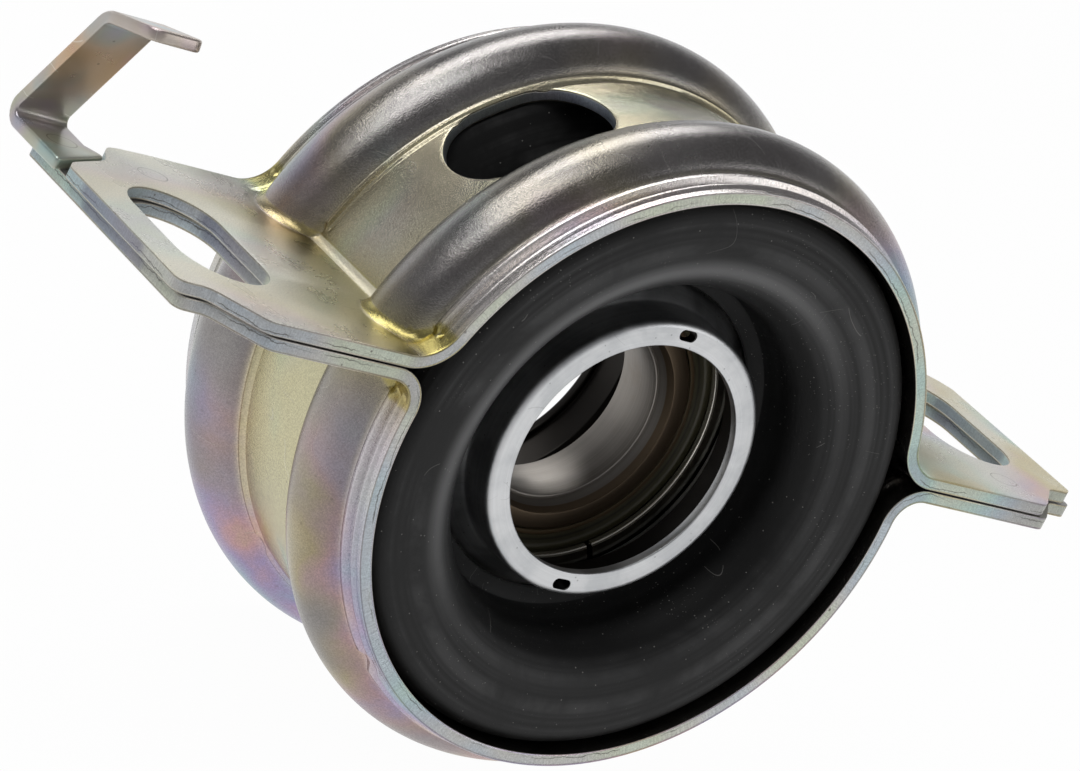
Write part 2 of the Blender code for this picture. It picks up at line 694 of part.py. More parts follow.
make_housing(yellow_zinc)
make_hook(yellow_zinc)
make_rubber(black_rubber, shaft_axis)
make_carrier(bright_zinc, shaft_axis)
make_snap_ring(ground_steel, shaft_axis)
make_covers(bright_zinc, shaft_axis)
make_outer_ring(ground_steel, shaft_axis)
make_seals(seal_rubber, shaft_axis)
make_inner_ring(ground_steel, shaft_axis)
make_balls(ground_steel, shaft_axis)
make_cage_half("front_cage_half", 1, cage_steel, shaft_axis)
make_cage_half("rear_cage_half", -1, cage_steel, shaft_axis)
make_rivets(cage_steel, shaft_axis)
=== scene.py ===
# %% [markdown]
# # Driveshaft centre bearing
#
# This lesson dresses a driveshaft centre bearing: a ball bearing held in a black rubber ring, inside
# a housing that is stamped from two sheets of steel and plated with yellow zinc. The CAD solids come
# in first as a fixed frame. They are faceted and plain, so each piece that shows is modelled again in
# the same place with fine curves, and every finish is built from nodes.

# %% Load the CAD frame
import math

import bpy
import numpy as np
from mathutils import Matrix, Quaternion, Vector


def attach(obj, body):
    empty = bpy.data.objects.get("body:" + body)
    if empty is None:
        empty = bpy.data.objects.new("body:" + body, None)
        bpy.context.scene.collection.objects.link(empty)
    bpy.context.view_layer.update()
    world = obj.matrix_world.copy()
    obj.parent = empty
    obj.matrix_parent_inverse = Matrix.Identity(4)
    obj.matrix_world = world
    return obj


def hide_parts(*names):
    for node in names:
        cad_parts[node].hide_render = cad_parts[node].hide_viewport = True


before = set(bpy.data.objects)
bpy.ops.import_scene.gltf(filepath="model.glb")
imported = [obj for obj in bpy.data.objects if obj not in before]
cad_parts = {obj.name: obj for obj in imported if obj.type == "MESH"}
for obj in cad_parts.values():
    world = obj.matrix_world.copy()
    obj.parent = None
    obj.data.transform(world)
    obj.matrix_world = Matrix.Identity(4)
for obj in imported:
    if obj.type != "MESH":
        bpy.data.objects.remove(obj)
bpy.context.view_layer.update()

# %% [markdown]
# ## Camera
#
# The photograph was taken with a long lens from the front left, a little above the shaft, with the
# camera rolled over to one side. A long lens keeps round parts round, so the camera stands far away.
# Its place and turn are set first, because every later look through it depends on them.

# %% Set up the camera
camera_data = bpy.data.cameras.new("camera")
camera_data.lens = 175.73
camera_data.sensor_width = 36.0
camera_data.clip_start = 0.05
camera_data.clip_end = 20.0
camera = bpy.data.objects.new("camera", camera_data)
bpy.context.scene.collection.objects.link(camera)
camera.location = (-0.50512, -0.573577, 0.206001)
camera.rotation_mode = "QUATERNION"
camera.rotation_quaternion = Quaternion((0.7916571, 0.4999243, -0.3366917, -0.0999671))
bpy.context.scene.camera = camera
print("camera", round(camera.location.length, 3), "m from the origin")

# %% [markdown]
# ## Small helpers
#
# An operator acts on whatever is selected, and the CAD nodes are still selected after loading. So
# every step first clears the selection and then picks what it needs.

# %% Helpers for selecting and finishing
def pick(obj):
    """Make one object the only selected one and the active one."""
    bpy.ops.object.select_all(action="DESELECT")
    obj.select_set(True)
    bpy.context.view_layer.objects.active = obj


def apply_modifier(obj, name, kind, **settings):
    """Add a modifier, set it and apply it."""
    pick(obj)
    modifier = obj.modifiers.new(name, kind)
    for key, value in settings.items():
        setattr(modifier, key, value)
    bpy.ops.object.modifier_apply(modifier=name)


def shade(obj, degrees=35):
    """Shade smooth, with the sharp corners kept."""
    pick(obj)
    bpy.ops.object.shade_smooth_by_angle(angle=math.radians(degrees))


def deselect_parts(kind):
    """Clear the active mesh's selection, which is then made of vertices, edges or faces."""
    bpy.ops.object.mode_set(mode="EDIT")
    bpy.ops.mesh.select_mode(type=kind)
    bpy.ops.mesh.select_all(action="DESELECT")
    bpy.ops.object.mode_set(mode="OBJECT")


def corner_arc(before, corner, after, size, steps):
    """Points round a corner. The arc takes less than half of each side."""
    corner = Vector(corner)
    back, onward = Vector(before) - corner, Vector(after) - corner
    half = back.angle(onward) / 2
    run = min(size / math.tan(half), 0.45 * back.length, 0.45 * onward.length)
    size = run * math.tan(half)
    back, onward = back.normalized(), onward.normalized()
    centre = corner + (back + onward).normalized() * (size / math.sin(half))
    start, end = corner + back * run - centre, corner + onward * run - centre
    turns = [start.slerp(end, k / steps).normalized() for k in range(steps + 1)]
    return [tuple(centre + turn * size) for turn in turns]


def seat(obj, body, slot, *nodes):
    """Let a finished piece ride on its body and stand for its CAD nodes."""
    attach(obj, body)
    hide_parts(*nodes)
    print(obj.name, "-", len(obj.data.polygons), "faces")


def coordinates(mesh):
    """The mesh's vertices as an array."""
    flat = np.zeros(len(mesh.vertices) * 3)
    mesh.vertices.foreach_get("co", flat)
    return flat.reshape(-1, 3)


def place_vertices(mesh, points):
    """Put the mesh's vertices where an array says."""
    mesh.vertices.foreach_set("co", points.astype(float).ravel())
    mesh.update()

# %% [markdown]
# ## The two stamped sheets
#
# The real housing starts as two flat blanks of 2 mm steel. A press bends each one into half a tube
# with an ear at both ends, and pushes two stiffening ribs into it. Modelling can follow the same
# order: a flat grid is cut, given its thickness and its rounded edges while it is still flat, and
# only then pressed into shape. The bevel then stays even all round the holes, which a Boolean cut
# through the curved sheet could not give.

# %% Sizes of the sheets
SHEET = 0.0020
AXIS_Z = -0.01145
SHELL_R = 0.0484
HALF_WIDTH = 0.0278
RIB_Y = 0.0164
RIB_HALF_WIDTH = 0.0070
RIB_HEIGHT = 0.00504
STEP_HEIGHT = 0.0010
SLOT_X = 0.07441
SLOT_Y = -0.0010
SLOT_R = 0.0078
SLOT_STRAIGHT = 0.0134
EAR_TIP_X = 0.0885
WINDOW_R = 0.0088
WINDOW_STRAIGHT = 0.0092
WINDOW_S = -math.radians(35.5) * SHELL_R
EDGE_ROUND = 0.00035
TIGHT_BEND_R = 0.0018
BEND_BEFORE = 0.0030
BEND_AFTER = 0.0045
RIM_START = 0.0215
RIM_EASE = 0.0030

SHELLS = {
    "upper": {"side": 1, "bend_r": 0.0064, "face_z": 0.0, "shift": 0.0},
    "lower": {"side": -1, "bend_r": 0.0042, "face_z": -0.0043, "shift": 0.0013},
}


def bend_sizes(shell):
    """Where a shell's round part ends and its bend begins, as lengths along the sheet."""
    centre_z = shell["face_z"] - AXIS_Z + shell["side"] * shell["bend_r"]
    centre_x = math.sqrt((SHELL_R + shell["bend_r"]) ** 2 - centre_z ** 2)
    sweep = math.pi / 2 - shell["side"] * math.atan2(centre_z, centre_x)
    return centre_x, sweep


for name, shell in SHELLS.items():
    shell["centre_x"], shell["sweep"] = bend_sizes(shell)
    shell["arc"] = SHELL_R * shell["sweep"]
    shell["flat"] = shell["arc"] + shell["bend_r"] * shell["sweep"]
    print(name, "sheet: round part ends", round(shell["arc"] * 1000, 1), "mm from the crown")

# %% [markdown]
# ### Lines of the grid
#
# A grid with even squares would waste faces on the plain parts and miss the fine steps beside the
# ribs. So the rows and columns are listed here, close together where the sheet bends sharply
# or a hole has its round end, and wide apart elsewhere.

# %% List the rows and columns
def spread(start, end, count):
    """Evenly spaced values, without the last one."""
    return list(np.linspace(start, end, count, endpoint=False))


def rounded_spread(middle, radius, count):
    """Values packed towards both ends, so that they step evenly round a half circle."""
    return [middle - radius * math.cos(math.pi * k / count) for k in range(count + 1)]


def row_lines():
    """The rows, from the front edge to the rear one."""
    foot = RIB_Y + RIB_HALF_WIDTH
    inner = RIB_Y - RIB_HALF_WIDTH
    rear = spread(inner - 0.0016, inner + 0.0012, 16)
    rear += spread(inner + 0.0012, foot - 0.0012, 16)
    rear += spread(foot - 0.0012, foot + 0.0030, 24)
    rear += spread(foot + 0.0030, HALF_WIDTH, 4) + [HALF_WIDTH]
    middle = [v for v in rounded_spread(0.0, WINDOW_R, 22) if abs(v) < inner - 0.0018]
    middle += [-WINDOW_R, WINDOW_R] if inner - 0.0016 > WINDOW_R else []
    slot_ends = [SLOT_Y - SLOT_STRAIGHT / 2, SLOT_Y + SLOT_STRAIGHT / 2]
    middle = [v for v in middle if min(abs(v - end) for end in slot_ends) > 0.0003] + slot_ends
    return sorted([-v for v in rear] + middle + rear)


def side_columns(shell, sign):
    """The columns from the crown to one ear's tip, as distances from the crown."""
    arc = shell["arc"]
    flat = shell["flat"]
    to_flat = flat - shell["centre_x"]
    slot = SLOT_X + sign * shell["shift"] + to_flat
    tip = EAR_TIP_X + sign * shell["shift"] + to_flat
    lines = spread(0.0009, arc - 0.0080, 44)
    lines += spread(arc - 0.0080, arc + 0.0012, 27)
    lines += spread(arc + 0.0012, arc + 0.0096, 44)
    lines += spread(arc + 0.0096, slot - SLOT_R, 12)
    lines += rounded_spread(slot, SLOT_R, 18)
    lines += spread(slot + SLOT_R + 0.0004, tip - 0.0022, 6)[1:]
    lines += spread(tip - 0.0022, tip, 6) + [tip]
    to_tip = tip - EAR_TIP_X
    corners = spread(0.0742 + to_tip, 0.0806 + to_tip, 14)
    corners += spread(0.0825 + to_tip, 0.0845 + to_tip, 5)
    lines += [v for v in corners if min(abs(v - other) for other in lines) > 0.0002]
    return lines


def column_lines(shell):
    """All columns from the left ear's tip to the right one's."""
    left = [-v for v in side_columns(shell, -1)]
    right = side_columns(shell, 1)
    lines = left + right
    if shell["side"] > 0:
        ends = [WINDOW_S - WINDOW_STRAIGHT / 2, WINDOW_S + WINDOW_STRAIGHT / 2]
        lines = [v for v in lines if min(abs(v - end) for end in ends) > 0.0004] + ends
    return sorted(lines)


print("rows:", len(row_lines()), "columns:", len(column_lines(SHELLS["upper"])))

# %% [markdown]
# ### The ears' outline
#
# Each ear narrows towards its tip. The front edge steps back first along a slant and then runs
# straight to the tip, and the rear corner is cut off at a slant. The upper left ear has a notch
# there instead, and the lower left ear keeps its corner, because the hook bracket is welded on it.
# The outline is written as the width left at each distance from the middle, and the grid's rows are
# squeezed to fit.

# %% Describe the ears' outline
FRONT_EDGE = [(0.0, 0.0278), (0.0757, 0.0278), (0.0765, 0.0276), (0.0772, 0.0272), (0.0778, 0.0266),
              (0.0827, 0.0210), (0.0833, 0.0206), (0.0841, 0.0203), (0.0885, 0.0202)]
REAR_EDGE = [(0.0, 0.0276), (0.0748, 0.0274), (0.0756, 0.0271), (0.0763, 0.0266), (0.0885, 0.0152)]
FULL_EDGE = [(0.0, 0.0278), (0.0885, 0.0278)]
NOTCH_EDGE = [(0.0, 0.0276), (0.0670, 0.0272), (0.0735, 0.0268), (0.0752, 0.0264),
              (0.0762, 0.0257), (0.0772, 0.0240), (0.0781, 0.0220), (0.0790, 0.0206),
              (0.0800, 0.0199), (0.0885, 0.0155)]
CORNER = 0.0016


def edge_at(x, table):
    """The half width of the ear at a distance from the middle."""
    xs, ys = zip(*table)
    return np.interp(np.abs(x), xs, ys)


def round_corner(along, across, tip, width, radius):
    """Round an ear's outer corner, by easing the square in the corner into a quarter circle."""
    a = np.clip((along - (tip - radius)) / radius, 0, 1)
    b = np.clip((across - (width - radius)) / radius, 0, 1)
    inside = (a > 0) & (b > 0)
    new_a = tip - radius + radius * a * np.sqrt(1 - b * b / 2)
    new_b = width - radius + radius * b * np.sqrt(1 - a * a / 2)
    return np.where(inside, new_a, along), np.where(inside, new_b, across)


print("ear corners rounded to", CORNER * 1000, "mm")

# %% [markdown]
# ### Cutting the flat blank
#
# The grid is laid on its lines, and the faces that lie in the straight part of a hole are deleted.
# The lines next to the hole are then pushed outwards into a half circle, so each hole gets smooth
# round ends from whole squares.

# %% Make the flat blank
def lay_grid(name, columns, rows):
    """A grid whose lines lie at the listed places."""
    bpy.ops.object.select_all(action="DESELECT")
    bpy.ops.mesh.primitive_grid_add(
        x_subdivisions=len(columns) - 1, y_subdivisions=len(rows) - 1, size=2)
    blank = bpy.context.object
    blank.name = name
    blank.data.name = name
    points = coordinates(blank.data)
    i = np.rint((points[:, 0] + 1) / 2 * (len(columns) - 1)).astype(int)
    j = np.rint((points[:, 1] + 1) / 2 * (len(rows) - 1)).astype(int)
    points[:, 0] = np.array(columns)[i]
    points[:, 1] = np.array(rows)[j]
    place_vertices(blank.data, points)
    return blank


def delete_faces(blank, boxes):
    """Delete the faces whose middle lies in one of the boxes."""
    pick(blank)
    deselect_parts("FACE")
    for polygon in blank.data.polygons:
        s, y = polygon.center.x, polygon.center.y
        polygon.select = any(a < s < b and c < y < d for a, b, c, d in boxes)
    bpy.ops.object.mode_set(mode="EDIT")
    bpy.ops.mesh.delete(type="FACE")
    bpy.ops.object.mode_set(mode="OBJECT")


def slot_middle(shell, sign):
    """A slot's middle, as a distance along the sheet from the crown."""
    to_flat = shell["flat"] - shell["centre_x"]
    return sign * (SLOT_X + to_flat) + shell["shift"]


def hole_boxes(shell):
    """The straight part of each hole."""
    half = SLOT_STRAIGHT / 2
    boxes = []
    for sign in (-1, 1):
        middle = slot_middle(shell, sign)
        boxes.append((middle - SLOT_R, middle + SLOT_R, SLOT_Y - half, SLOT_Y + half))
    if shell["side"] > 0:
        half = WINDOW_STRAIGHT / 2
        boxes.append((WINDOW_S - half, WINDOW_S + half, -WINDOW_R, WINDOW_R))
    return boxes


def round_slots(shell, points):
    """Push the rows beyond a slot into its round ends, and squeeze them inside the outline."""
    s, y = points[:, 0].copy(), points[:, 1].copy()
    to_flat = shell["flat"] - shell["centre_x"]
    x = s - np.sign(s) * to_flat - shell["shift"]
    ear = np.abs(s) > shell["flat"]
    bulge = np.zeros(len(s))
    for sign in (-1, 1):
        off = (s - slot_middle(shell, sign)) / SLOT_R
        bulge = np.where(np.abs(off) < 1, SLOT_R * np.sqrt(np.clip(1 - off * off, 0, 1)), bulge)
    rear = edge_at(x, REAR_EDGE)
    rear = np.where(s < 0, edge_at(x, FULL_EDGE if shell["side"] < 0 else NOTCH_EDGE), rear)
    front = edge_at(x, FRONT_EDGE)
    for way, width in ((1, rear), (-1, front)):
        start = way * SLOT_Y + SLOT_STRAIGHT / 2
        share = (way * y - start) / (HALF_WIDTH - start)
        moved = way * (start + bulge + share * (width - start - bulge))
        beyond = share > -1e-6
        y = np.where(ear & beyond, moved, y)
        y = np.where(~ear & beyond, way * (start + share * (width - start)), y)
    tip = EAR_TIP_X + np.sign(s) * shell["shift"] + to_flat
    for way, width in ((1, rear), (-1, front)):
        along, across = round_corner(np.abs(s), way * y, tip, width, CORNER)
        here = ear & (way * y > 0)
        s = np.where(here, np.sign(s) * along, s)
        y = np.where(here, way * across, y)
    points[:, 0], points[:, 1] = s, y
    return points


def round_window(points):
    """Push the columns beside the window into its round ends."""
    s, y = points[:, 0], points[:, 1]
    bulge = np.sqrt(np.clip(WINDOW_R ** 2 - y * y, 0, None))
    reach = WINDOW_R + 0.010
    for way in (-1, 1):
        start = way * WINDOW_S + WINDOW_STRAIGHT / 2
        share = (way * s - start) / reach
        moved = way * (start + bulge + share * (reach - bulge))
        s = np.where((share > -1e-6) & (share < 1), moved, s)
    points[:, 0] = s
    return points


def make_blank(name, shell):
    """The flat blank with its holes, its outline, its thickness and its rounded edges."""
    blank = lay_grid(name, column_lines(shell), row_lines())
    delete_faces(blank, hole_boxes(shell))
    points = coordinates(blank.data)
    if shell["side"] > 0:
        points = round_window(points)
    place_vertices(blank.data, round_slots(shell, points))
    apply_modifier(blank, "Thickness", "SOLIDIFY", thickness=SHEET, offset=-1)
    apply_modifier(blank, "Rounded edges", "BEVEL", width=EDGE_ROUND, segments=2,
                   limit_method="ANGLE", angle_limit=math.radians(60))
    print(name, "blank:", len(blank.data.vertices), "vertices")
    return blank


blanks = {name: make_blank(name + "_sheet", shell) for name, shell in SHELLS.items()}

# %% [markdown]
# ### Pressing the blanks
#
# A point of the blank has three numbers: its distance along the sheet, its distance across it and
# its depth below the outer face. The press turns them into a place on the finished shell. It first
# follows the bent line of the outer face, then lifts the point by the height of the ribs and of the
# fine steps beside them. The ribs run down to the ears with their full section, where the sheet
# bends with a tight fold. Only the rims turn into the ears in a wide curve.

# %% Heights of the ribs and steps
def ease(value):
    """Ease from 0 to 1."""
    value = np.clip(value, 0, 1)
    return value * value * (3 - 2 * value)


def soft_max(a, b, blend):
    """The larger of two heights, with the crease between them filled."""
    mix = np.clip(blend - np.abs(a - b), 0, None) / blend
    return np.maximum(a, b) + mix * mix * blend / 4


def plateau(value, low, high, slope):
    """1 between two places, falling to 0 on both sides over the slope's length."""
    return ease((value - low + slope) / slope) * ease((high + slope - value) / slope)


def rib_height(across, half_width, height):
    """A rib's round section."""
    radius = (half_width ** 2 + height ** 2) / (2 * height)
    inside = np.clip(radius ** 2 - across ** 2, 0, None)
    return np.sqrt(inside) - (radius - height)


def rib_across(y):
    """The height of the ribs across the sheet, below 0 beside them."""
    return rib_height(np.abs(np.abs(y) - RIB_Y), RIB_HALF_WIDTH, RIB_HEIGHT)


def rib_body(y):
    """The same with a filled foot, and level beside the ribs."""
    return soft_max(rib_across(y), np.zeros(len(y)), 0.0005)


def outer_lift(shell, s, y):
    """How far the fine steps stand proud of the tube and its ribs."""
    foot = RIB_Y + RIB_HALF_WIDTH
    inner = RIB_Y - RIB_HALF_WIDTH
    distance = np.abs(y)
    run = ease((shell["arc"] + 0.0024 - np.abs(s)) / 0.0014)
    land = STEP_HEIGHT * plateau(distance, inner + 0.002, foot + 0.0010, 0.0005)
    groove = -0.00035 * plateau(distance, foot + 0.0017, foot + 0.0019, 0.00025)
    second = 0.00045 * plateau(distance, foot + 0.0025, foot + 0.0029, 0.0003)
    thread = -0.00025 * plateau(distance, foot - 0.00005, foot + 0.00005, 0.0002)
    rear_ridge = 0.00055 * plateau(y, inner - 0.0004, inner + 0.0006, 0.00025)
    rear_groove = -0.00030 * plateau(y, inner - 0.0012, inner - 0.0010, 0.0002)
    front_ridge = 0.00022 * plateau(-y, inner - 0.0001, inner + 0.0004, 0.0002)
    ridges = rear_ridge + rear_groove + front_ridge
    steps = (land + groove + second + thread + ridges) * run
    steps = steps * die_gap(shell, s)
    return soft_max(rib_across(y), steps, 0.0005) - rib_body(y)


def die_gap(shell, s):
    """Short gaps in the fine steps, where one tool of the die stopped and the next began."""
    gap = np.ones(len(s))
    marks = {1: (0.0410,), -1: (-0.0335, 0.0380)}
    for mark in marks[shell["side"]]:
        gap = gap * (1 - 0.85 * plateau(s, mark - 0.0011, mark + 0.0011, 0.0003))
    return gap


def inner_lift(y):
    """The inner face's ribs are a sheet's thickness smaller."""
    reach = np.abs(np.abs(y) - RIB_Y) / (RIB_HALF_WIDTH - 0.0008)
    return RIB_HEIGHT * np.clip(1 - reach ** 2, 0, None) ** 0.8 - rib_body(y)


places = np.array([0, RIB_Y, RIB_Y + RIB_HALF_WIDTH, HALF_WIDTH])
heights = rib_body(places) + outer_lift(SHELLS["upper"], np.zeros(len(places)), places)
print("heights at the crown in mm:", (heights * 1000).round(2))

# %% Press the blanks into shells
def bend_at(shell, y):
    """The tube's radius and its bend into the ear, which is tight but for the rims."""
    wide = ease((np.abs(y) - RIM_START) / RIM_EASE)
    radius = TIGHT_BEND_R + (shell["bend_r"] - TIGHT_BEND_R) * wide
    tube_r = SHELL_R + rib_body(y)
    centre_z = shell["face_z"] - AXIS_Z + shell["side"] * radius
    centre_x = np.sqrt((tube_r + radius) ** 2 - centre_z ** 2)
    sweep = math.pi / 2 - shell["side"] * np.arctan2(centre_z, centre_x)
    return tube_r, radius, centre_x, centre_z, sweep


def outer_line(shell, s, y):
    """The outer face's line seen from the front, the way out of the sheet, and the zone:
    0 to 1 on the round part, 1 to 2 on the bend, and 2 and more on the ear."""
    tube_r, radius, centre_x, centre_z, sweep = bend_at(shell, y)
    a = np.abs(s)
    start, end = shell["arc"] - BEND_BEFORE, shell["flat"] + BEND_AFTER
    round_run = tube_r * (sweep - start / SHELL_R)
    bend_run = radius * sweep
    total = round_run + bend_run + shell["centre_x"] + BEND_AFTER - centre_x
    run = np.where(a > end, total + a - end, (a - start) / (end - start) * total)
    on_tube = run < round_run
    past = np.clip(run - round_run - bend_run, 0, None)
    turn = np.where(a < start, a / SHELL_R, start / SHELL_R + run / tube_r)
    turn = np.where(on_tube, turn, np.clip(sweep - (run - round_run) / radius, 0, None))
    out_x, out_z = np.sin(turn), shell["side"] * np.cos(turn)
    x = np.where(on_tube, tube_r * out_x, centre_x - radius * out_x) + past
    z = np.where(on_tube, tube_r * out_z, centre_z - radius * out_z)
    bend = 1 + np.clip((run - round_run) / bend_run, 0, 1)
    zone = np.where(on_tube, turn / sweep, bend) + past / (EAR_TIP_X - shell["centre_x"])
    sign = np.where(s < 0, -1.0, 1.0)
    return x * sign, z + AXIS_Z, out_x * sign, out_z, zone


def press(blank, shell):
    """Turn every point of the flat blank into its place on the shell."""
    points = coordinates(blank.data)
    s, y = points[:, 0], points[:, 1]
    depth = np.clip(-points[:, 2] / SHEET, 0, 1)
    x, z, out_x, out_z, zone = outer_line(shell, s, y)
    kept = blank.data.attributes.new("blank", "FLOAT_VECTOR", "POINT")
    place = np.stack([zone * np.where(s < 0, -1, 1), y * 1000, depth], 1)
    kept.data.foreach_set("vector", place.ravel())
    inner = inner_lift(y) * ease(2 - zone)
    lift = outer_lift(shell, s, y) * (1 - depth) + (inner - SHEET) * depth
    place_vertices(blank.data, np.stack([x + out_x * lift, y, z + out_z * lift], 1))
    if shell["side"] < 0:
        pick(blank)
        bpy.ops.object.mode_set(mode="EDIT")
        bpy.ops.mesh.select_all(action="SELECT")
        bpy.ops.mesh.flip_normals()
        bpy.ops.object.mode_set(mode="OBJECT")
    shade(blank, 40)
    return blank


upper_sheet = press(blanks["upper"], SHELLS["upper"])
lower_sheet = press(blanks["lower"], SHELLS["lower"])
seat(upper_sheet, "housing", "yellow_zinc", "upper_shell")
seat(lower_sheet, "housing", "yellow_zinc", "lower_shell")

# %% [markdown]
# ## Hook bracket
#
# The hook is a strip of sheet, folded twice. Its foot is welded on the lower ear, and its top is
# turned forward to guide a cable. A strip is the simplest thing to fold: one edge is extruded along
# the side view of its inner face, and Solidify gives it its thickness.

# %% Fold the hook
HOOK_SHEET = 0.0019
HOOK_LEFT_X = -0.0896
HOOK_WIDTH = 0.0093
HOOK_FOOT_Z = -0.0001
HOOK_BEND = (0.0318, HOOK_FOOT_Z)
HOOK_TOP = (0.0202, 0.0201)
HOOK_END = (0.0080, 0.0230)
HOOK_TOE = (-0.0781, 0.0221, HOOK_FOOT_Z)
TOE_Y = 0.0240


hook_foot = (0.0140, HOOK_FOOT_Z)
hook_line = [hook_foot, (0.0248, HOOK_FOOT_Z)]
hook_line += corner_arc(hook_foot, HOOK_BEND, HOOK_TOP, 0.0010, 8)
hook_line += corner_arc(HOOK_BEND, HOOK_TOP, HOOK_END, 0.0030, 12) + [HOOK_END]

bpy.ops.object.select_all(action="DESELECT")
bpy.ops.mesh.primitive_plane_add(size=HOOK_WIDTH, location=(HOOK_LEFT_X + HOOK_WIDTH / 2, 0, 0))
hook = bpy.context.object
hook.name = hook.data.name = "hook_strip"
bpy.ops.object.transform_apply(location=True, rotation=True, scale=True)
corners = coordinates(hook.data)
corners[:, 1] = np.where(corners[:, 1] < 0, hook_line[0][0], hook_line[0][0] + 0.001)
corners[:, 2] = HOOK_FOOT_Z
place_vertices(hook.data, corners)
deselect_parts("EDGE")
for vertex in hook.data.vertices:
    vertex.select = vertex.co.y > hook_line[0][0] + 0.0005
for edge in hook.data.edges:
    edge.select = all(hook.data.vertices[k].select for k in edge.vertices)
bpy.ops.object.mode_set(mode="EDIT")
here = (hook_line[0][0] + 0.001, HOOK_FOOT_Z)
for there in hook_line[1:]:
    step = (0, there[0] - here[0], there[1] - here[1])
    bpy.ops.mesh.extrude_region_move(TRANSFORM_OT_translate={"value": step})
    here = there
bpy.ops.object.mode_set(mode="OBJECT")
print("hook folded along", len(hook_line), "points")

# %% [markdown]
# The foot's end is cut at the slant of the ear beside it. Bisect cuts a mesh with a plane and can
# throw one side away, which is all a slanted end needs.

# %% Trim the hook and give it thickness
pick(hook)
deselect_parts("FACE")
for polygon in hook.data.polygons:
    polygon.select = polygon.center.z < HOOK_FOOT_Z + 0.0001
bpy.ops.object.mode_set(mode="EDIT")
slant = Vector((0.0113, 0.0058, 0)).normalized()
across_slant = Vector((-slant.y, slant.x, 0))
bpy.ops.mesh.bisect(
    plane_co=(HOOK_LEFT_X, 0.0164, HOOK_FOOT_Z), plane_no=across_slant, clear_inner=True)
bpy.ops.mesh.select_mode(type="VERT")
bpy.ops.mesh.select_all(action="DESELECT")
bpy.ops.object.mode_set(mode="OBJECT")
toe = [v for v in hook.data.vertices if v.co.y < TOE_Y and v.co.z < 0.001 and v.co.x > -0.0850]
for vertex in toe:
    vertex.co = HOOK_TOE
for vertex in hook.data.vertices:
    vertex.select = vertex.co.y < TOE_Y and vertex.co.z < 0.001
bpy.ops.object.mode_set(mode="EDIT")
bpy.ops.mesh.bevel(offset=0.0010, segments=5, affect="VERTICES")
bpy.ops.mesh.select_all(action="DESELECT")
bpy.ops.object.mode_set(mode="OBJECT")
for vertex in hook.data.vertices:
    vertex.select = vertex.co.y < HOOK_END[0] + 0.0005 and vertex.co.z > 0.02
bpy.ops.object.mode_set(mode="EDIT")
bpy.ops.mesh.bevel(offset=0.0022, segments=6, affect="VERTICES")
bpy.ops.mesh.select_all(action="SELECT")
bpy.ops.mesh.normals_make_consistent(inside=False)
bpy.ops.object.mode_set(mode="OBJECT")
print("after the trim:", len(hook.data.vertices), "vertices")

foot_normals = [f.normal.z for f in hook.data.polygons if abs(f.center.z - HOOK_FOOT_Z) < 1e-5]
thicken = 1 if foot_normals and foot_normals[0] < 0 else -1
apply_modifier(hook, "Thickness", "SOLIDIFY", thickness=HOOK_SHEET, offset=thicken,
               use_even_offset=True)
apply_modifier(hook, "Rounded edges", "BEVEL", width=0.0004, segments=3, limit_method="ANGLE",
               angle_limit=math.radians(50))
shade(hook, 40)
seat(hook, "housing", "yellow_zinc", "hook_bracket")

# %% [markdown]
# ## Turned pieces
#
# The rubber, the covers and the bearing's rings are all round about the shaft's axis. On a lathe or
# in a mould such a piece is fixed by its section alone, and the Spin tool works the same way: a
# section is drawn point by point with extrude, and spun once round the axis. Each corner of a
# section has its own small radius, because a sharp corner catches no light.

# %% A helper that draws a section and spins it
MERGE_DISTANCE = 0.000005


def soften(section, steps=4):
    """Round the corners of a closed section of (radius, front distance, corner radius)."""
    line = []
    for k, (r, s, size) in enumerate(section):
        if size == 0:
            line.append((r, s))
        else:
            after = section[(k + 1) % len(section)]
            line += corner_arc(section[k - 1][:2], (r, s), after[:2], size, steps)
    return line


def spin_and_close(steps, angle):
    """Spin the selected section round the axis, join the seam and turn the faces outwards."""
    bpy.ops.mesh.spin(steps=steps, angle=angle, center=(0, 0, AXIS_Z), axis=(0, 1, 0))
    bpy.ops.mesh.select_all(action="SELECT")
    bpy.ops.mesh.remove_doubles(threshold=MERGE_DISTANCE)
    bpy.ops.mesh.normals_make_consistent(inside=False)
    bpy.ops.object.mode_set(mode="OBJECT")


def spin_ring(name, line, steps=144):
    """Draw a closed section of (radius, front distance) and spin it round the shaft's axis."""
    bpy.ops.object.select_all(action="DESELECT")
    bpy.ops.mesh.primitive_plane_add(size=0.0001, location=(0, 0, 0))
    ring = bpy.context.object
    ring.name = ring.data.name = name
    bpy.ops.object.mode_set(mode="EDIT")
    bpy.ops.mesh.select_mode(type="VERT")
    bpy.ops.mesh.select_all(action="SELECT")
    bpy.ops.mesh.merge(type="CENTER")
    bpy.ops.transform.translate(value=(line[0][0], -line[0][1], AXIS_Z))
    here = line[0]
    for there in line[1:] + line[:1]:
        move = (there[0] - here[0], -(there[1] - here[1]), 0)
        bpy.ops.mesh.extrude_region_move(TRANSFORM_OT_translate={"value": move})
        here = there
    bpy.ops.mesh.select_all(action="SELECT")
    bpy.ops.mesh.remove_doubles(threshold=MERGE_DISTANCE)
    spin_and_close(steps, 2 * math.pi)
    shade(ring, 30)
    return ring


def rounded_run(centre, radius, start, end, steps):
    """Points on an arc of a section, from one angle to another in degrees."""
    angles = [math.radians(start + (end - start) * k / steps) for k in range(steps + 1)]
    return [(centre[0] + radius * math.cos(a), centre[1] + radius * math.sin(a)) for a in angles]


print("sections are drawn as (radius, distance in front of the bearing's middle)")

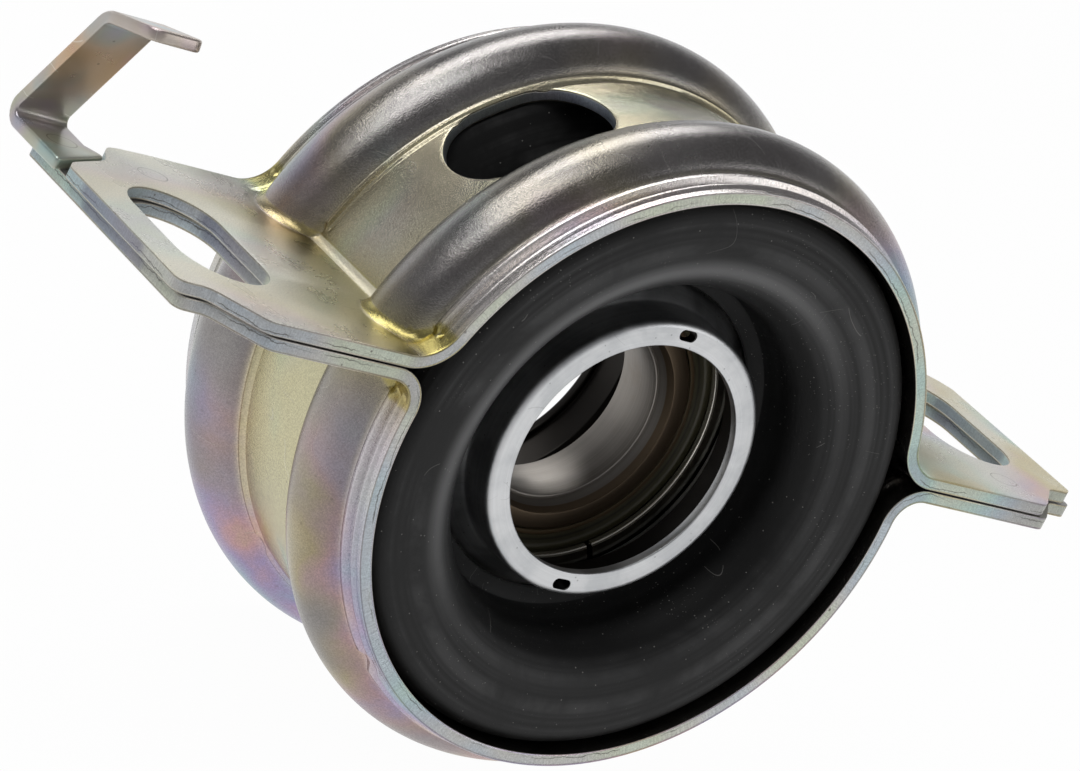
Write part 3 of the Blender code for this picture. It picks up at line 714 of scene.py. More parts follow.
# %% [markdown]
# ## Rubber ring
#
# The rubber is moulded between the bearing's sleeve and the housing. Its face swells out in a fat
# bulge, dips in a wide curve to the sleeve on the inside, and turns down with a small radius beside
# the housing. Half of its section is drawn, and the rear half repeats it.

# %% Mould the rubber ring
RUBBER_CREST = 0.0269
RUBBER_CREST_R = 0.0385
RUBBER_WALL_R = 0.0293
RUBBER_SHOULDER_R = 0.0460
RUBBER_EDGE_R = 0.0032


def rubber_front():
    """The front half of the rubber's section, from its bore to its groove."""
    inside = RUBBER_CREST_R - RUBBER_WALL_R
    outside = RUBBER_SHOULDER_R - RUBBER_EDGE_R
    line = [(0.0299, 0.0114), (0.0268, 0.0114), (0.0265, 0.0117), (0.0267, 0.0120)]
    line += [(0.0284, 0.0122), (0.0290, 0.0126), (RUBBER_WALL_R, 0.0134)]
    line += rounded_run((RUBBER_CREST_R, RUBBER_CREST - inside), inside, 180, 90, 20)
    line += rounded_run((outside, RUBBER_CREST - RUBBER_EDGE_R), RUBBER_EDGE_R, 88, 0, 14)
    line += [(RUBBER_SHOULDER_R, 0.0090), (RUBBER_SHOULDER_R - 0.0003, 0.0086)]
    line += [(0.0383, 0.0045), (0.0380, 0.0040)]
    return line


front_line = rubber_front()
rubber_line = front_line + [(r, -s) for r, s in reversed(front_line)]
rubber = spin_ring("rubber_body", rubber_line, 180)
seat(rubber, "housing", "black_rubber", "rubber_ring")

# %% [markdown]
# ## Covers
#
# The bright ring at the front is the edge of a pressed cover, turned inwards over the bearing. Its
# outer corner is bent round, and the cut edge inside has only a small bevel. Two little slots drain
# it, cut with a Boolean while the wall is still plain.

# %% Press the covers
def cover_section(opening_r):
    """A cover's section from its bright face to its foot beside the bearing."""
    section = [(opening_r, 0.02035, 0.0003), (0.0233, 0.02035, 0.0011), (0.0233, 0.0140, 0.0010)]
    section += [(0.0275, 0.0098, 0.0008), (0.0275, 0.0083, 0.0002), (0.0258, 0.0083, 0.0002)]
    section += [(0.0258, 0.0091, 0.0005), (0.0216, 0.0133, 0.0005), (0.0216, 0.01865, 0.0004)]
    section += [(opening_r, 0.01865, 0.0003)]
    return soften(section)


front_ring = spin_ring("front_cover_ring", cover_section(0.01935))
rear_ring = spin_ring("rear_cover_ring", [(r, -s) for r, s in cover_section(0.0206)])


def cut_slot(ring, z):
    """Cut one small drain slot through the cover's face."""
    bpy.ops.object.select_all(action="DESELECT")
    bpy.ops.mesh.primitive_cylinder_add(
        vertices=32, radius=0.0009, depth=0.006, location=(0, -0.0203, AXIS_Z + z),
        rotation=(math.pi / 2, 0, 0))
    tool = bpy.context.object
    bpy.ops.object.transform_apply(location=True, rotation=True, scale=True)
    points = coordinates(tool.data)
    x = points[:, 0]
    points[:, 0] = x + np.where(x > 1e-6, 0.00075, np.where(x < -1e-6, -0.00075, 0))
    place_vertices(tool.data, points)
    pick(ring)
    cut = ring.modifiers.new("Drain", "BOOLEAN")
    cut.object = tool
    cut.solver = "EXACT"
    bpy.ops.object.modifier_apply(modifier="Drain")
    bpy.data.objects.remove(tool)


for z in (-0.02145, 0.02145):
    cut_slot(front_ring, z)
shade(front_ring, 30)
seat(front_ring, "housing", "bright_zinc", "front_cover")
seat(rear_ring, "housing", "bright_zinc", "rear_cover")

# %% [markdown]
# ## The bearing's rings
#
# What shows through the cover is the inner ring, ground to a mirror in its bore, and round it the
# seal, the face of the outer ring and the snap ring. They are spun from their sections like the
# rest. The balls, the cage and its rivets stay the CAD solids, because the seals hide them.

# %% Spin the rings
inner_section = [(0.0163, 0.0065, 0.0002), (0.0196, 0.0065, 0.0003), (0.0196, 0.0045, 0.0002)]
inner_section = soften(inner_section)
inner_section += [(0.0215 + 0.0046 * math.cos(math.radians(a)), 0.0046 * math.sin(math.radians(a)))
                  for a in range(114, 247, 6)]
inner_section += soften([
    (0.0196, -0.0045, 0.0002), (0.0196, -0.0065, 0.0003), (0.0163, -0.0065, 0.0002),
    (0.0150, -0.0052, 0.0003), (0.0150, 0.0052, 0.0003)])
inner_ring = spin_ring("inner_race_ring", inner_section)
seat(inner_ring, "inner_race", "ground_steel", "inner_ring")

SEAL_LINES = soften([
    (0.0199, 0.0063, 0.0002), (0.0206, 0.0063, 0.0002), (0.0208, 0.0060, 0.0002),
    (0.0224, 0.0060, 0.0002), (0.0227, 0.0063, 0.0003), (0.0238, 0.0063, 0.0002),
    (0.0238, 0.0055, 0.0001), (0.0199, 0.0055, 0.0001)], 3)
front_lip = spin_ring("front_lip_seal", SEAL_LINES)
rear_lip = spin_ring("rear_lip_seal", [(r, -s) for r, s in SEAL_LINES])
seat(front_lip, "housing", "seal_rubber", "front_seal")
seat(rear_lip, "housing", "seal_rubber", "rear_seal")

# %% [markdown]
# ## Sleeve and snap ring
#
# The bearing sits in a sleeve with a flange behind it, and a snap ring locks it from the front. The
# snap ring is open, so its section is spun not quite all the way round and its two ends are closed.

# %% Spin the sleeve and the snap ring
sleeve_section = soften([
    (0.0278, 0.0112, 0.0003), (0.0296, 0.0112, 0.0004), (0.0296, -0.0086, 0.0010),
    (0.0241, -0.0086, 0.0003), (0.0241, -0.0068, 0.0002), (0.0278, -0.0068, 0.0002),
    (0.0278, 0.0067, 0.0001), (0.0287, 0.0067, 0.0001), (0.0287, 0.0081, 0.0001),
    (0.0278, 0.0081, 0.0001)], 3)
sleeve = spin_ring("bearing_sleeve", sleeve_section)
seat(sleeve, "housing", "bright_zinc", "bearing_carrier")

SNAP_GAP = math.radians(-57)
SNAP_HALF = math.radians(1.1)
snap_section = soften([(0.0232, 0.0080, 0.0003), (0.0284, 0.0080, 0.0003), (0.0284, 0.0068, 0.0003),
                       (0.0232, 0.0068, 0.0003)], 3)
start = SNAP_GAP + SNAP_HALF
bpy.ops.object.select_all(action="DESELECT")
bpy.ops.mesh.primitive_circle_add(vertices=len(snap_section), radius=0.001, fill_type="NGON")
snap = bpy.context.object
snap.name = snap.data.name = "open_snap_ring"
section_points = np.array([
    (r * math.cos(start), -s, AXIS_Z + r * math.sin(start)) for r, s in snap_section])
place_vertices(snap.data, section_points)
bpy.ops.object.mode_set(mode="EDIT")
bpy.ops.mesh.select_all(action="SELECT")
spin_and_close(140, 2 * math.pi - 2 * SNAP_HALF)
print("snap ring gap:", round(math.degrees(2 * SNAP_HALF), 1), "degrees")
shade(snap, 30)
seat(snap, "housing", "bright_zinc", "snap_ring")

# %% [markdown]
# ## Finishes
#
# Every finish is built from nodes. What several finishes share, such as fine grain, scratches, dust
# and the rainbow of thin plating, is made once as a node group. A group only puts out masks, colours
# and heights, and each material decides what to do with them.

# %% Helpers for building node trees
def add(tree, kind, inputs=None, **settings):
    """Add a node, then set or link its inputs."""
    made = tree.nodes.new(kind)
    for key, value in settings.items():
        setattr(made, key, value)
    for key, value in (inputs or {}).items():
        if isinstance(value, bpy.types.NodeSocket):
            tree.links.new(value, made.inputs[key])
        else:
            made.inputs[key].default_value = value
    return made


def calc(tree, operation, a, b=0.0, clamp=False):
    """A Math node's result."""
    made = add(tree, "ShaderNodeMath", {0: a, 1: b}, operation=operation, use_clamp=clamp)
    return made.outputs[0]


def times(tree, a, b):
    """A product."""
    return calc(tree, "MULTIPLY", a, b)


def plus(tree, a, b, clamp=False):
    """A sum."""
    return calc(tree, "ADD", a, b, clamp)


def larger(tree, a, b):
    """The larger of two values."""
    return calc(tree, "MAXIMUM", a, b)


def split(tree, vector):
    """A vector's three parts."""
    return add(tree, "ShaderNodeSeparateXYZ", {0: vector}).outputs


def ramp(tree, value, low, high, start=0.0, end=1.0):
    """A smooth rise between two values."""
    made = add(tree, "ShaderNodeMapRange", {0: value, 1: low, 2: high, 3: start, 4: end},
               interpolation_type="SMOOTHSTEP")
    return made.outputs[0]


def between(tree, value, low, high, soft):
    """1 between two values and 0 outside them."""
    rise = ramp(tree, value, low - soft, low + soft)
    fall = ramp(tree, value, high - soft, high + soft, 1.0, 0.0)
    return times(tree, rise, fall)


def blend(tree, factor, a, b, kind="MIX"):
    """Mix two colours."""
    made = add(tree, "ShaderNodeMix", {0: factor, 6: a, 7: b}, data_type="RGBA", blend_type=kind)
    return made.outputs[2]


def tint(tree, colour, mask, share, paint):
    """Lay a share of one more colour over a colour, where a mask allows it."""
    return blend(tree, times(tree, mask, share), colour, paint)


def noise(tree, vector, scale, detail=4.0, roughness=0.55, distortion=0.0):
    """A noise texture's value."""
    made = add(tree, "ShaderNodeTexNoise", {
        "Vector": vector, "Scale": scale, "Detail": detail, "Roughness": roughness,
        "Distortion": distortion})
    return made.outputs["Fac"]


def stretched(tree, vector, scale, turn=(0, 0, 0)):
    """Coordinates stretched and turned by a Mapping node."""
    inputs = {"Vector": vector, "Scale": scale, "Rotation": turn}
    return add(tree, "ShaderNodeMapping", inputs).outputs[0]


def around(tree, where):
    """Coordinates for lines round the shaft, the distance from its axis and the place along it."""
    x, y, z = split(tree, where)
    z = calc(tree, "SUBTRACT", z, AXIS_Z)
    radius = calc(tree, "SQRT", plus(tree, times(tree, x, x), times(tree, z, z)))
    return add(tree, "ShaderNodeCombineXYZ", {0: radius, 1: y}).outputs[0], radius, y


def new_group(name, inputs, outputs):
    """An empty node group with named inputs and outputs."""
    tree = bpy.data.node_groups.new(name, "ShaderNodeTree")
    for label, kind, value in inputs:
        socket = tree.interface.new_socket(label, in_out="INPUT", socket_type=kind)
        if value is not None:
            socket.default_value = value
    for label, kind in outputs:
        tree.interface.new_socket(label, in_out="OUTPUT", socket_type=kind)
    return tree, tree.nodes.new("NodeGroupInput").outputs, tree.nodes.new("NodeGroupOutput").inputs


def use(tree, group, **inputs):
    """Place a group in a material; its outputs are read by name."""
    return add(tree, "ShaderNodeGroup", inputs, node_tree=group).outputs


def rgb(red, green, blue):
    """A colour as it looks on screen, from 0 to 255, as the linear colour that a node takes."""
    def linear(v):
        v = v / 255
        return v / 12.92 if v <= 0.04045 else ((v + 0.055) / 1.055) ** 2.4
    return (linear(red), linear(green), linear(blue), 1.0)


print("node helpers ready")

# %% [markdown]
# ### Shared groups
#
# Grain is two noises, one cloudy and one fine. Scratches are the thin lines along which a stretched
# noise crosses one value, kept only in patches. Specks are Voronoi cells of which only a few keep a
# dot. The rainbow turns a phase into the colours that a thin chromate film shows, from straw over
# pink and violet to blue and green.

# %% Group: grain
grain, ins, outs = new_group("fine_grain", [
    ("Vector", "NodeSocketVector", None), ("Scale", "NodeSocketFloat", 100.0)], [
    ("Cloud", "NodeSocketFloat"), ("Fine", "NodeSocketFloat")])
grain.links.new(noise(grain, ins["Vector"], ins["Scale"], 5, 0.6, 0.3), outs["Cloud"])
fine_scale = times(grain, ins["Scale"], 14.0)
grain.links.new(noise(grain, ins["Vector"], fine_scale, 3, 0.7), outs["Fine"])

# %% Group: scratches
scratches, ins, outs = new_group("thin_scratches", [
    ("Vector", "NodeSocketVector", None), ("Scale", "NodeSocketFloat", 60.0),
    ("Width", "NodeSocketFloat", 0.004), ("Amount", "NodeSocketFloat", 0.5)], [
    ("Mask", "NodeSocketFloat")])
lines = []
for turn in ((0.3, 0.2, 0.5), (1.1, 0.4, 2.1), (0.2, 1.3, 1.2)):
    along = stretched(scratches, ins["Vector"], (1.0, 0.22, 1.0), turn)
    field = noise(scratches, along, ins["Scale"], 1, 0.5, 0.4)
    off = calc(scratches, "ABSOLUTE", calc(scratches, "SUBTRACT", field, 0.5))
    thin = calc(scratches, "LESS_THAN", off, ins["Width"])
    patch = noise(scratches, stretched(scratches, ins["Vector"], (1.0, 1.0, 1.0), turn), 90.0, 2)
    kept = calc(scratches, "GREATER_THAN", patch, calc(scratches, "SUBTRACT", 1.0, ins["Amount"]))
    lines.append(times(scratches, thin, kept))
both = larger(scratches, lines[0], lines[1])
scratches.links.new(larger(scratches, both, lines[2]), outs["Mask"])

# %% Group: specks
specks, ins, outs = new_group("scattered_specks", [
    ("Vector", "NodeSocketVector", None), ("Scale", "NodeSocketFloat", 900.0),
    ("Size", "NodeSocketFloat", 0.2), ("Share", "NodeSocketFloat", 0.1)], [
    ("Mask", "NodeSocketFloat")])
cells = add(specks, "ShaderNodeTexVoronoi", {"Vector": ins["Vector"], "Scale": ins["Scale"]})
dot = calc(specks, "LESS_THAN", cells.outputs["Distance"], ins["Size"])
picked = add(specks, "ShaderNodeSeparateColor", {"Color": cells.outputs["Color"]}).outputs[0]
keep = calc(specks, "LESS_THAN", picked, ins["Share"])
specks.links.new(times(specks, dot, keep), outs["Mask"])

# %% Group: rainbow of the chromate film
rainbow, ins, outs = new_group("chromate_rainbow", [("Phase", "NodeSocketFloat", 0.0)], [
    ("Color", "NodeSocketColor")])
wheel = add(rainbow, "ShaderNodeValToRGB", {"Fac": calc(rainbow, "FRACT", ins["Phase"])})
stops = [(0.00, rgb(222, 212, 168)), (0.20, rgb(212, 190, 118)), (0.38, rgb(214, 164, 168)),
         (0.54, rgb(172, 152, 202)), (0.70, rgb(146, 176, 208)), (0.85, rgb(166, 210, 192)),
         (1.00, rgb(222, 212, 168))]
wheel.color_ramp.elements[0].position = stops[0][0]
wheel.color_ramp.elements[0].color = stops[0][1]
wheel.color_ramp.elements[1].position = stops[-1][0]
wheel.color_ramp.elements[1].color = stops[-1][1]
for position, colour in stops[1:-1]:
    wheel.color_ramp.elements.new(position).color = colour
rainbow.links.new(wheel.outputs["Color"], outs["Color"])
print("groups:", [group.name for group in bpy.data.node_groups])

# %% [markdown]
# ### Yellow zinc on the stamped sheets
#
# Yellow zinc is a metal colour with a thin film on it. The film is thickest where the bath dripped
# off last, at the bends and the lower side, so it is strongest there. The blank's own numbers were
# kept as an attribute while it was pressed, so a finish can tell a rib, a channel, a bend, an ear
# and a cut edge apart on both sheets.

# %% Material: yellow zinc on the sheets
def new_material(name):
    """An empty node material with its Principled shader."""
    material = bpy.data.materials.new(name)
    material.use_nodes = True
    tree = material.node_tree
    return material, tree, tree.nodes["Principled BSDF"]


def object_vector(tree):
    """Coordinates of the object, in metres."""
    return add(tree, "ShaderNodeTexCoord").outputs["Object"]


def bump(tree, height, strength, distance, normal=None):
    """A Bump node's normal."""
    inputs = {"Height": height, "Strength": strength, "Distance": distance}
    if normal is not None:
        inputs["Normal"] = normal
    return add(tree, "ShaderNodeBump", inputs).outputs[0]


def weld_ring(tree, where, centre):
    """The thin oval line that a spot weld's tip leaves."""
    off = add(tree, "ShaderNodeVectorMath", {0: where, 1: centre}, operation="SUBTRACT").outputs[0]
    flat = stretched(tree, off, (1.0, 1.35, 0.3))
    reach = add(tree, "ShaderNodeVectorMath", {0: flat}, operation="LENGTH").outputs["Value"]
    return between(tree, reach, 0.0024, 0.0026, 0.0001)


def paint_sheets(name):
    """The stamped sheets' finish."""
    material, tree, shader = new_material(name)
    where = object_vector(tree)
    place = add(tree, "ShaderNodeAttribute", attribute_name="blank").outputs["Vector"]
    part = split(tree, place)
    along = calc(tree, "ABSOLUTE", part[0])
    across = calc(tree, "ABSOLUTE", part[1])
    depth = part[2]
    spots = use(tree, grain, Vector=where, Scale=70.0)
    fine = use(tree, grain, Vector=where, Scale=260.0)
    slow = noise(tree, where, 22.0, 3, 0.5)
    tube = ramp(tree, along, 0.98, 1.06, 1.0, 0.0)
    rib = times(tree, between(tree, across, 9.6, 23.2, 0.6), tube)
    rim = times(tree, ramp(tree, across, 23.0, 23.6), tube)
    bend = between(tree, along, 1.02, 1.75, 0.12)
    ear = ramp(tree, along, 1.6, 2.05)
    channel = blend(tree, spots["Cloud"], rgb(184, 176, 148), rgb(214, 207, 186))
    # The ribs are painted darker than the channel: painted shade for the dark room that their slopes
    # mirror.
    ribs = blend(tree, spots["Cloud"], rgb(124, 120, 120), rgb(172, 169, 166))
    bends = blend(tree, spots["Cloud"], rgb(168, 156, 92), rgb(202, 192, 128))
    ears = blend(tree, spots["Cloud"], rgb(228, 224, 206), rgb(242, 240, 228))
    colour = blend(tree, rib, channel, ribs)
    colour = blend(tree, rim, colour, rgb(216, 211, 208))
    colour = blend(tree, bend, colour, bends)
    root = times(tree, ramp(tree, along, 2.42, 2.02), 0.85)
    ears = blend(tree, root, ears, rgb(146, 140, 98))
    colour = blend(tree, ear, colour, ears)
    # Between the ribs, the tight fold into each ear is painted near white: a painted highlight along
    # the fold.
    fold = times(tree, between(tree, along, 1.12, 1.88, 0.08), ramp(tree, across, 9.8, 9.0))
    colour = tint(tree, colour, fold, 0.8, rgb(250, 244, 222))
    sides = split(tree, where)
    height = sides[2]
    low = ramp(tree, height, -0.010, -0.050)
    below = times(tree, ramp(tree, height, -0.006, -0.012), ramp(tree, across, 10.0, 9.0))
    colour = tint(tree, colour, below, 0.5, rgb(208, 204, 158))
    phase = calc(tree, "MULTIPLY_ADD", slow, 2.6)
    phase.node.inputs[2].default_value = 0.15
    phase = plus(tree, phase, times(tree, spots["Cloud"], 0.5))
    phase = plus(tree, phase, times(tree, across, 0.035))
    film = use(tree, rainbow, Phase=phase)["Color"]
    patch = ramp(tree, noise(tree, where, 31.0, 2, 0.5), 0.36, 0.58)
    right = ramp(tree, sides[0], 0.012, 0.040)
    side = larger(tree, low, right)
    weight = times(tree, plus(tree, times(tree, side, 0.42), 0.22), patch)
    colour = blend(tree, weight, colour, film)
    edge = between(tree, depth, 0.14, 0.90, 0.05)
    edge_film = use(tree, rainbow, Phase=times(tree, slow, 3.1))["Color"]
    edge_colour = blend(tree, 0.70, edge_film, rgb(212, 228, 222))
    shear_at = add(tree, "ShaderNodeCombineXYZ", {0: times(tree, part[0], 60.0), 1: part[1]})
    shear = noise(tree, shear_at.outputs[0], 3.2, 4, 0.75)
    grit = ramp(tree, shear, 0.36, 0.62, 0.86, 1.06)
    edge_colour = blend(tree, 1.0, edge_colour, grit, "MULTIPLY")
    colour = blend(tree, edge, colour, edge_colour)
    wander = calc(tree, "SUBTRACT", noise(tree, where, 210.0, 4, 0.7), 0.5)
    seam_at = plus(tree, depth, times(tree, wander, 0.9))
    seam = between(tree, seam_at, 0.66, 0.74, 0.02)
    torn = ramp(tree, noise(tree, where, 95.0, 2), 0.46, 0.58)
    seam = times(tree, times(tree, seam, torn), edge)
    colour = tint(tree, colour, seam, 0.75, rgb(84, 80, 72))
    # A darker line along the rounded edge next to the outer face.
    outer_edge_line = between(tree, depth, 0.03, 0.13, 0.03)
    colour = tint(tree, colour, outer_edge_line, 0.55, rgb(104, 98, 88))
    wall = times(tree, edge, between(tree, part[1], -9.5, 9.5, 1.0))
    colour = tint(tree, colour, wall, 0.55, rgb(112, 112, 140))
    scuff_at = stretched(tree, where, (1.0, 0.35, 1.0), (0, 0, 0.9))
    scuff = between(tree, noise(tree, scuff_at, 150.0, 3, 0.6, 0.6), 0.495, 0.503, 0.003)
    scuffed = ramp(tree, noise(tree, where, 60.0, 2), 0.48, 0.58)
    on_ear = times(tree, ear, ramp(tree, along, 2.30, 2.10))
    scuff = times(tree, times(tree, scuff, scuffed), on_ear)
    colour = tint(tree, colour, scuff, 0.55, rgb(86, 82, 60))
    left_weld = weld_ring(tree, where, (-0.0712, 0.0195, 0))
    weld = larger(tree, left_weld, weld_ring(tree, where, (0.0722, -0.0212, 0)))
    colour = tint(tree, colour, weld, 0.6, rgb(96, 90, 74))
    under = ramp(tree, depth, 0.93, 0.99)
    colour = blend(tree, under, colour, rgb(150, 146, 140))
    lines = use(tree, scratches, Vector=where, Scale=46.0, Width=0.0012, Amount=0.42)["Mask"]
    colour = tint(tree, colour, lines, 0.22, rgb(225, 222, 214))
    pits = use(tree, specks, Vector=where, Scale=800.0, Size=0.20, Share=0.05)["Mask"]
    dark = times(tree, pits, plus(tree, times(tree, edge, 0.5), 0.22))
    colour = blend(tree, dark, colour, rgb(90, 84, 74))
    fine_tone = ramp(tree, fine["Fine"], 0.35, 0.68, 0.80, 1.06)
    colour = blend(tree, 1.0, colour, fine_tone, "MULTIPLY")
    tree.links.new(colour, shader.inputs["Base Color"])
    rough = ramp(tree, spots["Cloud"], 0.3, 0.7, 0.19, 0.29)
    rough = plus(tree, rough, times(tree, ear, 0.05))
    rough = plus(tree, rough, times(tree, edge, 0.08), True)
    tree.links.new(rough, shader.inputs["Roughness"])
    chalky = times(tree, ramp(tree, along, 2.15, 2.6), 0.75)
    # The fold is made less metallic too, so that its painted highlight reads bright.
    chalky = larger(tree, chalky, times(tree, fold, 0.6))
    chalky = larger(tree, chalky, times(tree, edge, 0.35))
    tree.links.new(calc(tree, "SUBTRACT", 1.0, chalky), shader.inputs["Metallic"])
    relief = plus(tree, times(tree, fine["Fine"], 0.5), times(tree, lines, -0.5))
    relief = plus(tree, relief, times(tree, pits, -0.6))
    relief = plus(tree, relief, times(tree, times(tree, shear, edge), 1.2))
    normal = bump(tree, relief, 0.8, 0.00012)
    normal = bump(tree, spots["Cloud"], 0.35, 0.0004, normal)
    tree.links.new(normal, shader.inputs["Normal"])
    return material


def dress(obj, material):
    """Give an object one material."""
    obj.data.materials.clear()
    obj.data.materials.append(material)


sheet_finish = paint_sheets("yellow_zinc_sheet")
dress(upper_sheet, sheet_finish)
dress(lower_sheet, sheet_finish)
print("sheets dressed with", len(sheet_finish.node_tree.nodes), "nodes")

# %% [markdown]
# ### Yellow zinc on the hook
#
# The hook was plated before it was welded on, so its film differs: slate grey with a rusty brown
# middle and teal toward the foot. It has no blank's numbers, so it is painted by its place alone.

# %% Material: the hook
hook_finish, tree, shader = new_material("yellow_zinc_hook")
where = object_vector(tree)
spots = use(tree, grain, Vector=where, Scale=90.0)
fine = use(tree, grain, Vector=where, Scale=260.0)
height = split(tree, where)[2]
colour = blend(tree, spots["Cloud"], rgb(166, 160, 176), rgb(202, 196, 202))
rust = between(tree, height, 0.006, 0.017, 0.004)
colour = tint(tree, colour, rust, 0.65, rgb(214, 166, 130))
teal = ramp(tree, height, 0.007, 0.001)
colour = tint(tree, colour, teal, 0.55, rgb(158, 184, 178))
film = use(tree, rainbow, Phase=times(tree, noise(tree, where, 60.0, 2), 2.2))["Color"]
colour = blend(tree, 0.30, colour, film)
dimple = weld_ring(tree, where, (-0.0848, 0.0242, 0))
colour = tint(tree, colour, dimple, 0.7, rgb(96, 84, 60))
lines = use(tree, scratches, Vector=where, Scale=46.0, Width=0.0016, Amount=0.46)["Mask"]
colour = tint(tree, colour, lines, 0.35, rgb(245, 244, 238))
pits = use(tree, specks, Vector=where, Scale=900.0, Size=0.20, Share=0.06)["Mask"]
colour = tint(tree, colour, pits, 0.4, rgb(80, 74, 66))
tree.links.new(colour, shader.inputs["Base Color"])
tree.links.new(ramp(tree, spots["Cloud"], 0.3, 0.7, 0.26, 0.38), shader.inputs["Roughness"])
shader.inputs["Metallic"].default_value = 0.8
relief = plus(tree, times(tree, fine["Fine"], 0.5), times(tree, pits, -0.6))
tree.links.new(bump(tree, relief, 0.5, 0.00006), shader.inputs["Normal"])
dress(hook, hook_finish)

# %% [markdown]
# ### Rubber
#
# New moulded rubber is nearly black and dull. What the eye reads is what lies on it: a grey bloom
# in clouds, dust specks and a few hairs of lint. Part of the bloom's streaks is painted sheen, the
# crest is painted lighter on its upper left side as a painted highlight, and inside the crest the
# recess is painted near black as shade.

# %% Material: rubber
rubber_finish, tree, shader = new_material("moulded_rubber")
where = object_vector(tree)
spots = use(tree, grain, Vector=where, Scale=45.0)
fine = use(tree, grain, Vector=where, Scale=220.0)
colour = blend(tree, ramp(tree, spots["Cloud"], 0.40, 0.72), rgb(13, 13, 13), rgb(25, 25, 25))
lines_at, radius, front = around(tree, where)
sides = split(tree, where)
# The crest is painted light grey on its upper left side: a painted highlight.
upper_left_side = ramp(tree, calc(tree, "SUBTRACT", sides[2], sides[0]), -0.030, 0.024, 0.10, 1.0)
# The streaks round the shaft are partly bloom and partly painted sheen.
smear_and_sheen = noise(tree, lines_at, 300.0, 3, 0.6)
smear_and_sheen = times(tree, ramp(tree, smear_and_sheen, 0.40, 0.70), ramp(tree, spots["Cloud"], 0.35, 0.60))
crest_highlight = between(tree, radius, 0.0335, 0.0362, 0.0016)
crest_highlight = times(tree, times(tree, crest_highlight, upper_left_side), 0.85)
bloom_and_sheen = plus(tree, times(tree, smear_and_sheen, 0.35), crest_highlight, True)
colour = blend(tree, bloom_and_sheen, colour, rgb(118, 118, 118))
# Inside the crest the rubber is painted near black: painted shade in the recess.
recess_shade = ramp(tree, radius, 0.0335, 0.0312)
colour = tint(tree, colour, recess_shade, 0.9, rgb(5, 5, 5))
dust = use(tree, specks, Vector=where, Scale=1500.0, Size=0.16, Share=0.07)["Mask"]
powder = use(tree, specks, Vector=where, Scale=3100.0, Size=0.22, Share=0.10)["Mask"]
settled = ramp(tree, spots["Cloud"], 0.46, 0.62)
dust = larger(tree, dust, times(tree, powder, settled))
colour = tint(tree, colour, dust, 0.55, rgb(160, 158, 153))
lint = use(tree, scratches, Vector=where, Scale=46.0, Width=0.0007, Amount=0.38)["Mask"]
colour = tint(tree, colour, lint, 0.5, rgb(140, 138, 134))
tree.links.new(colour, shader.inputs["Base Color"])
shader.inputs["Specular IOR Level"].default_value = 0.3
tree.links.new(ramp(tree, spots["Cloud"], 0.3, 0.75, 0.48, 0.66), shader.inputs["Roughness"])
relief = plus(tree, times(tree, fine["Fine"], 0.6), times(tree, dust, 0.8))
normal = bump(tree, relief, 0.5, 0.00008)
tree.links.new(bump(tree, spots["Cloud"], 0.3, 0.0006, normal), shader.inputs["Normal"])
dress(rubber, rubber_finish)

# %% [markdown]
# ### Bright zinc, ground steel and the seal
#
# The cover is plated in plain zinc, which is pale, soft and a little mottled. The ring's bore is
# ground, so it carries fine lines all round, which are a noise read along the shaft only. The seal
# is a dark olive rubber with the same kind of lines. The cover's inner wall is painted near black
# as shade, and the snap ring gets a painted highlight along its inner edge.

# %% Material: bright zinc
def paint_bright(name, dark, light, rough_low, rough_high, shade_share=0.0, highlight_share=0.0):
    """A plain zinc finish between two tones, with painted shade and a painted highlight if asked."""
    material, tree, shader = new_material(name)
    where = object_vector(tree)
    spots = use(tree, grain, Vector=where, Scale=110.0)
    fine = use(tree, grain, Vector=where, Scale=320.0)
    lines_at, radius, front = around(tree, where)
    rings = noise(tree, lines_at, 2600.0, 2)
    colour = blend(tree, ramp(tree, spots["Cloud"], 0.35, 0.65), dark, light)
    colour = blend(tree, 1.0, colour, ramp(tree, rings, 0.3, 0.7, 0.94, 1.03), "MULTIPLY")
    marks = use(tree, scratches, Vector=where, Scale=60.0, Width=0.0012, Amount=0.40)["Mask"]
    colour = tint(tree, colour, marks, 0.2, rgb(120, 120, 120))
    pits = use(tree, specks, Vector=where, Scale=1600.0, Size=0.24, Share=0.04)["Mask"]
    colour = tint(tree, colour, pits, 0.35, rgb(70, 70, 70))
    depth = calc(tree, "ABSOLUTE", front)
    # On the cover's inner wall and the walls of its drain slots the zinc is painted near black, in
    # the share asked: painted shade.
    inside = times(tree, ramp(tree, radius, 0.0226, 0.0224), ramp(tree, depth, 0.0202, 0.0200))
    lip = larger(tree, ramp(tree, radius, 0.0196, 0.0198), ramp(tree, depth, 0.0188, 0.0184))
    inside = times(tree, inside, lip)
    # Near the inner edge the metal is painted almost white, in the share asked: a painted highlight
    # along the snap ring's inner edge.
    inner_edge_highlight = times(tree, ramp(tree, radius, 0.0238, 0.0236), highlight_share)
    colour = blend(tree, inner_edge_highlight, colour, rgb(236, 233, 222))
    colour = tint(tree, colour, inside, shade_share, rgb(38, 36, 34))
    tree.links.new(colour, shader.inputs["Base Color"])
    rough = ramp(tree, spots["Cloud"], 0.3, 0.7, rough_low, rough_high)
    tree.links.new(rough, shader.inputs["Roughness"])
    shader.inputs["Metallic"].default_value = 1.0
    relief = plus(tree, times(tree, fine["Fine"], 0.5), times(tree, pits, -0.5))
    tree.links.new(bump(tree, relief, 0.4, 0.00005), shader.inputs["Normal"])
    return material


zinc_finish = paint_bright(
    "bright_zinc_cover", rgb(196, 198, 200), rgb(222, 223, 224), 0.34, 0.46, shade_share=1.0)
snap_finish = paint_bright(
    "spring_steel", rgb(70, 68, 62), rgb(104, 102, 94), 0.16, 0.24, highlight_share=1.0)
# The sleeve is given a dark tone.
sleeve_finish = paint_bright("dark_sleeve", rgb(60, 58, 54), rgb(84, 82, 76), 0.24, 0.36)
for piece in (front_ring, rear_ring):
    dress(piece, zinc_finish)
dress(snap, snap_finish)
dress(sleeve, sleeve_finish)

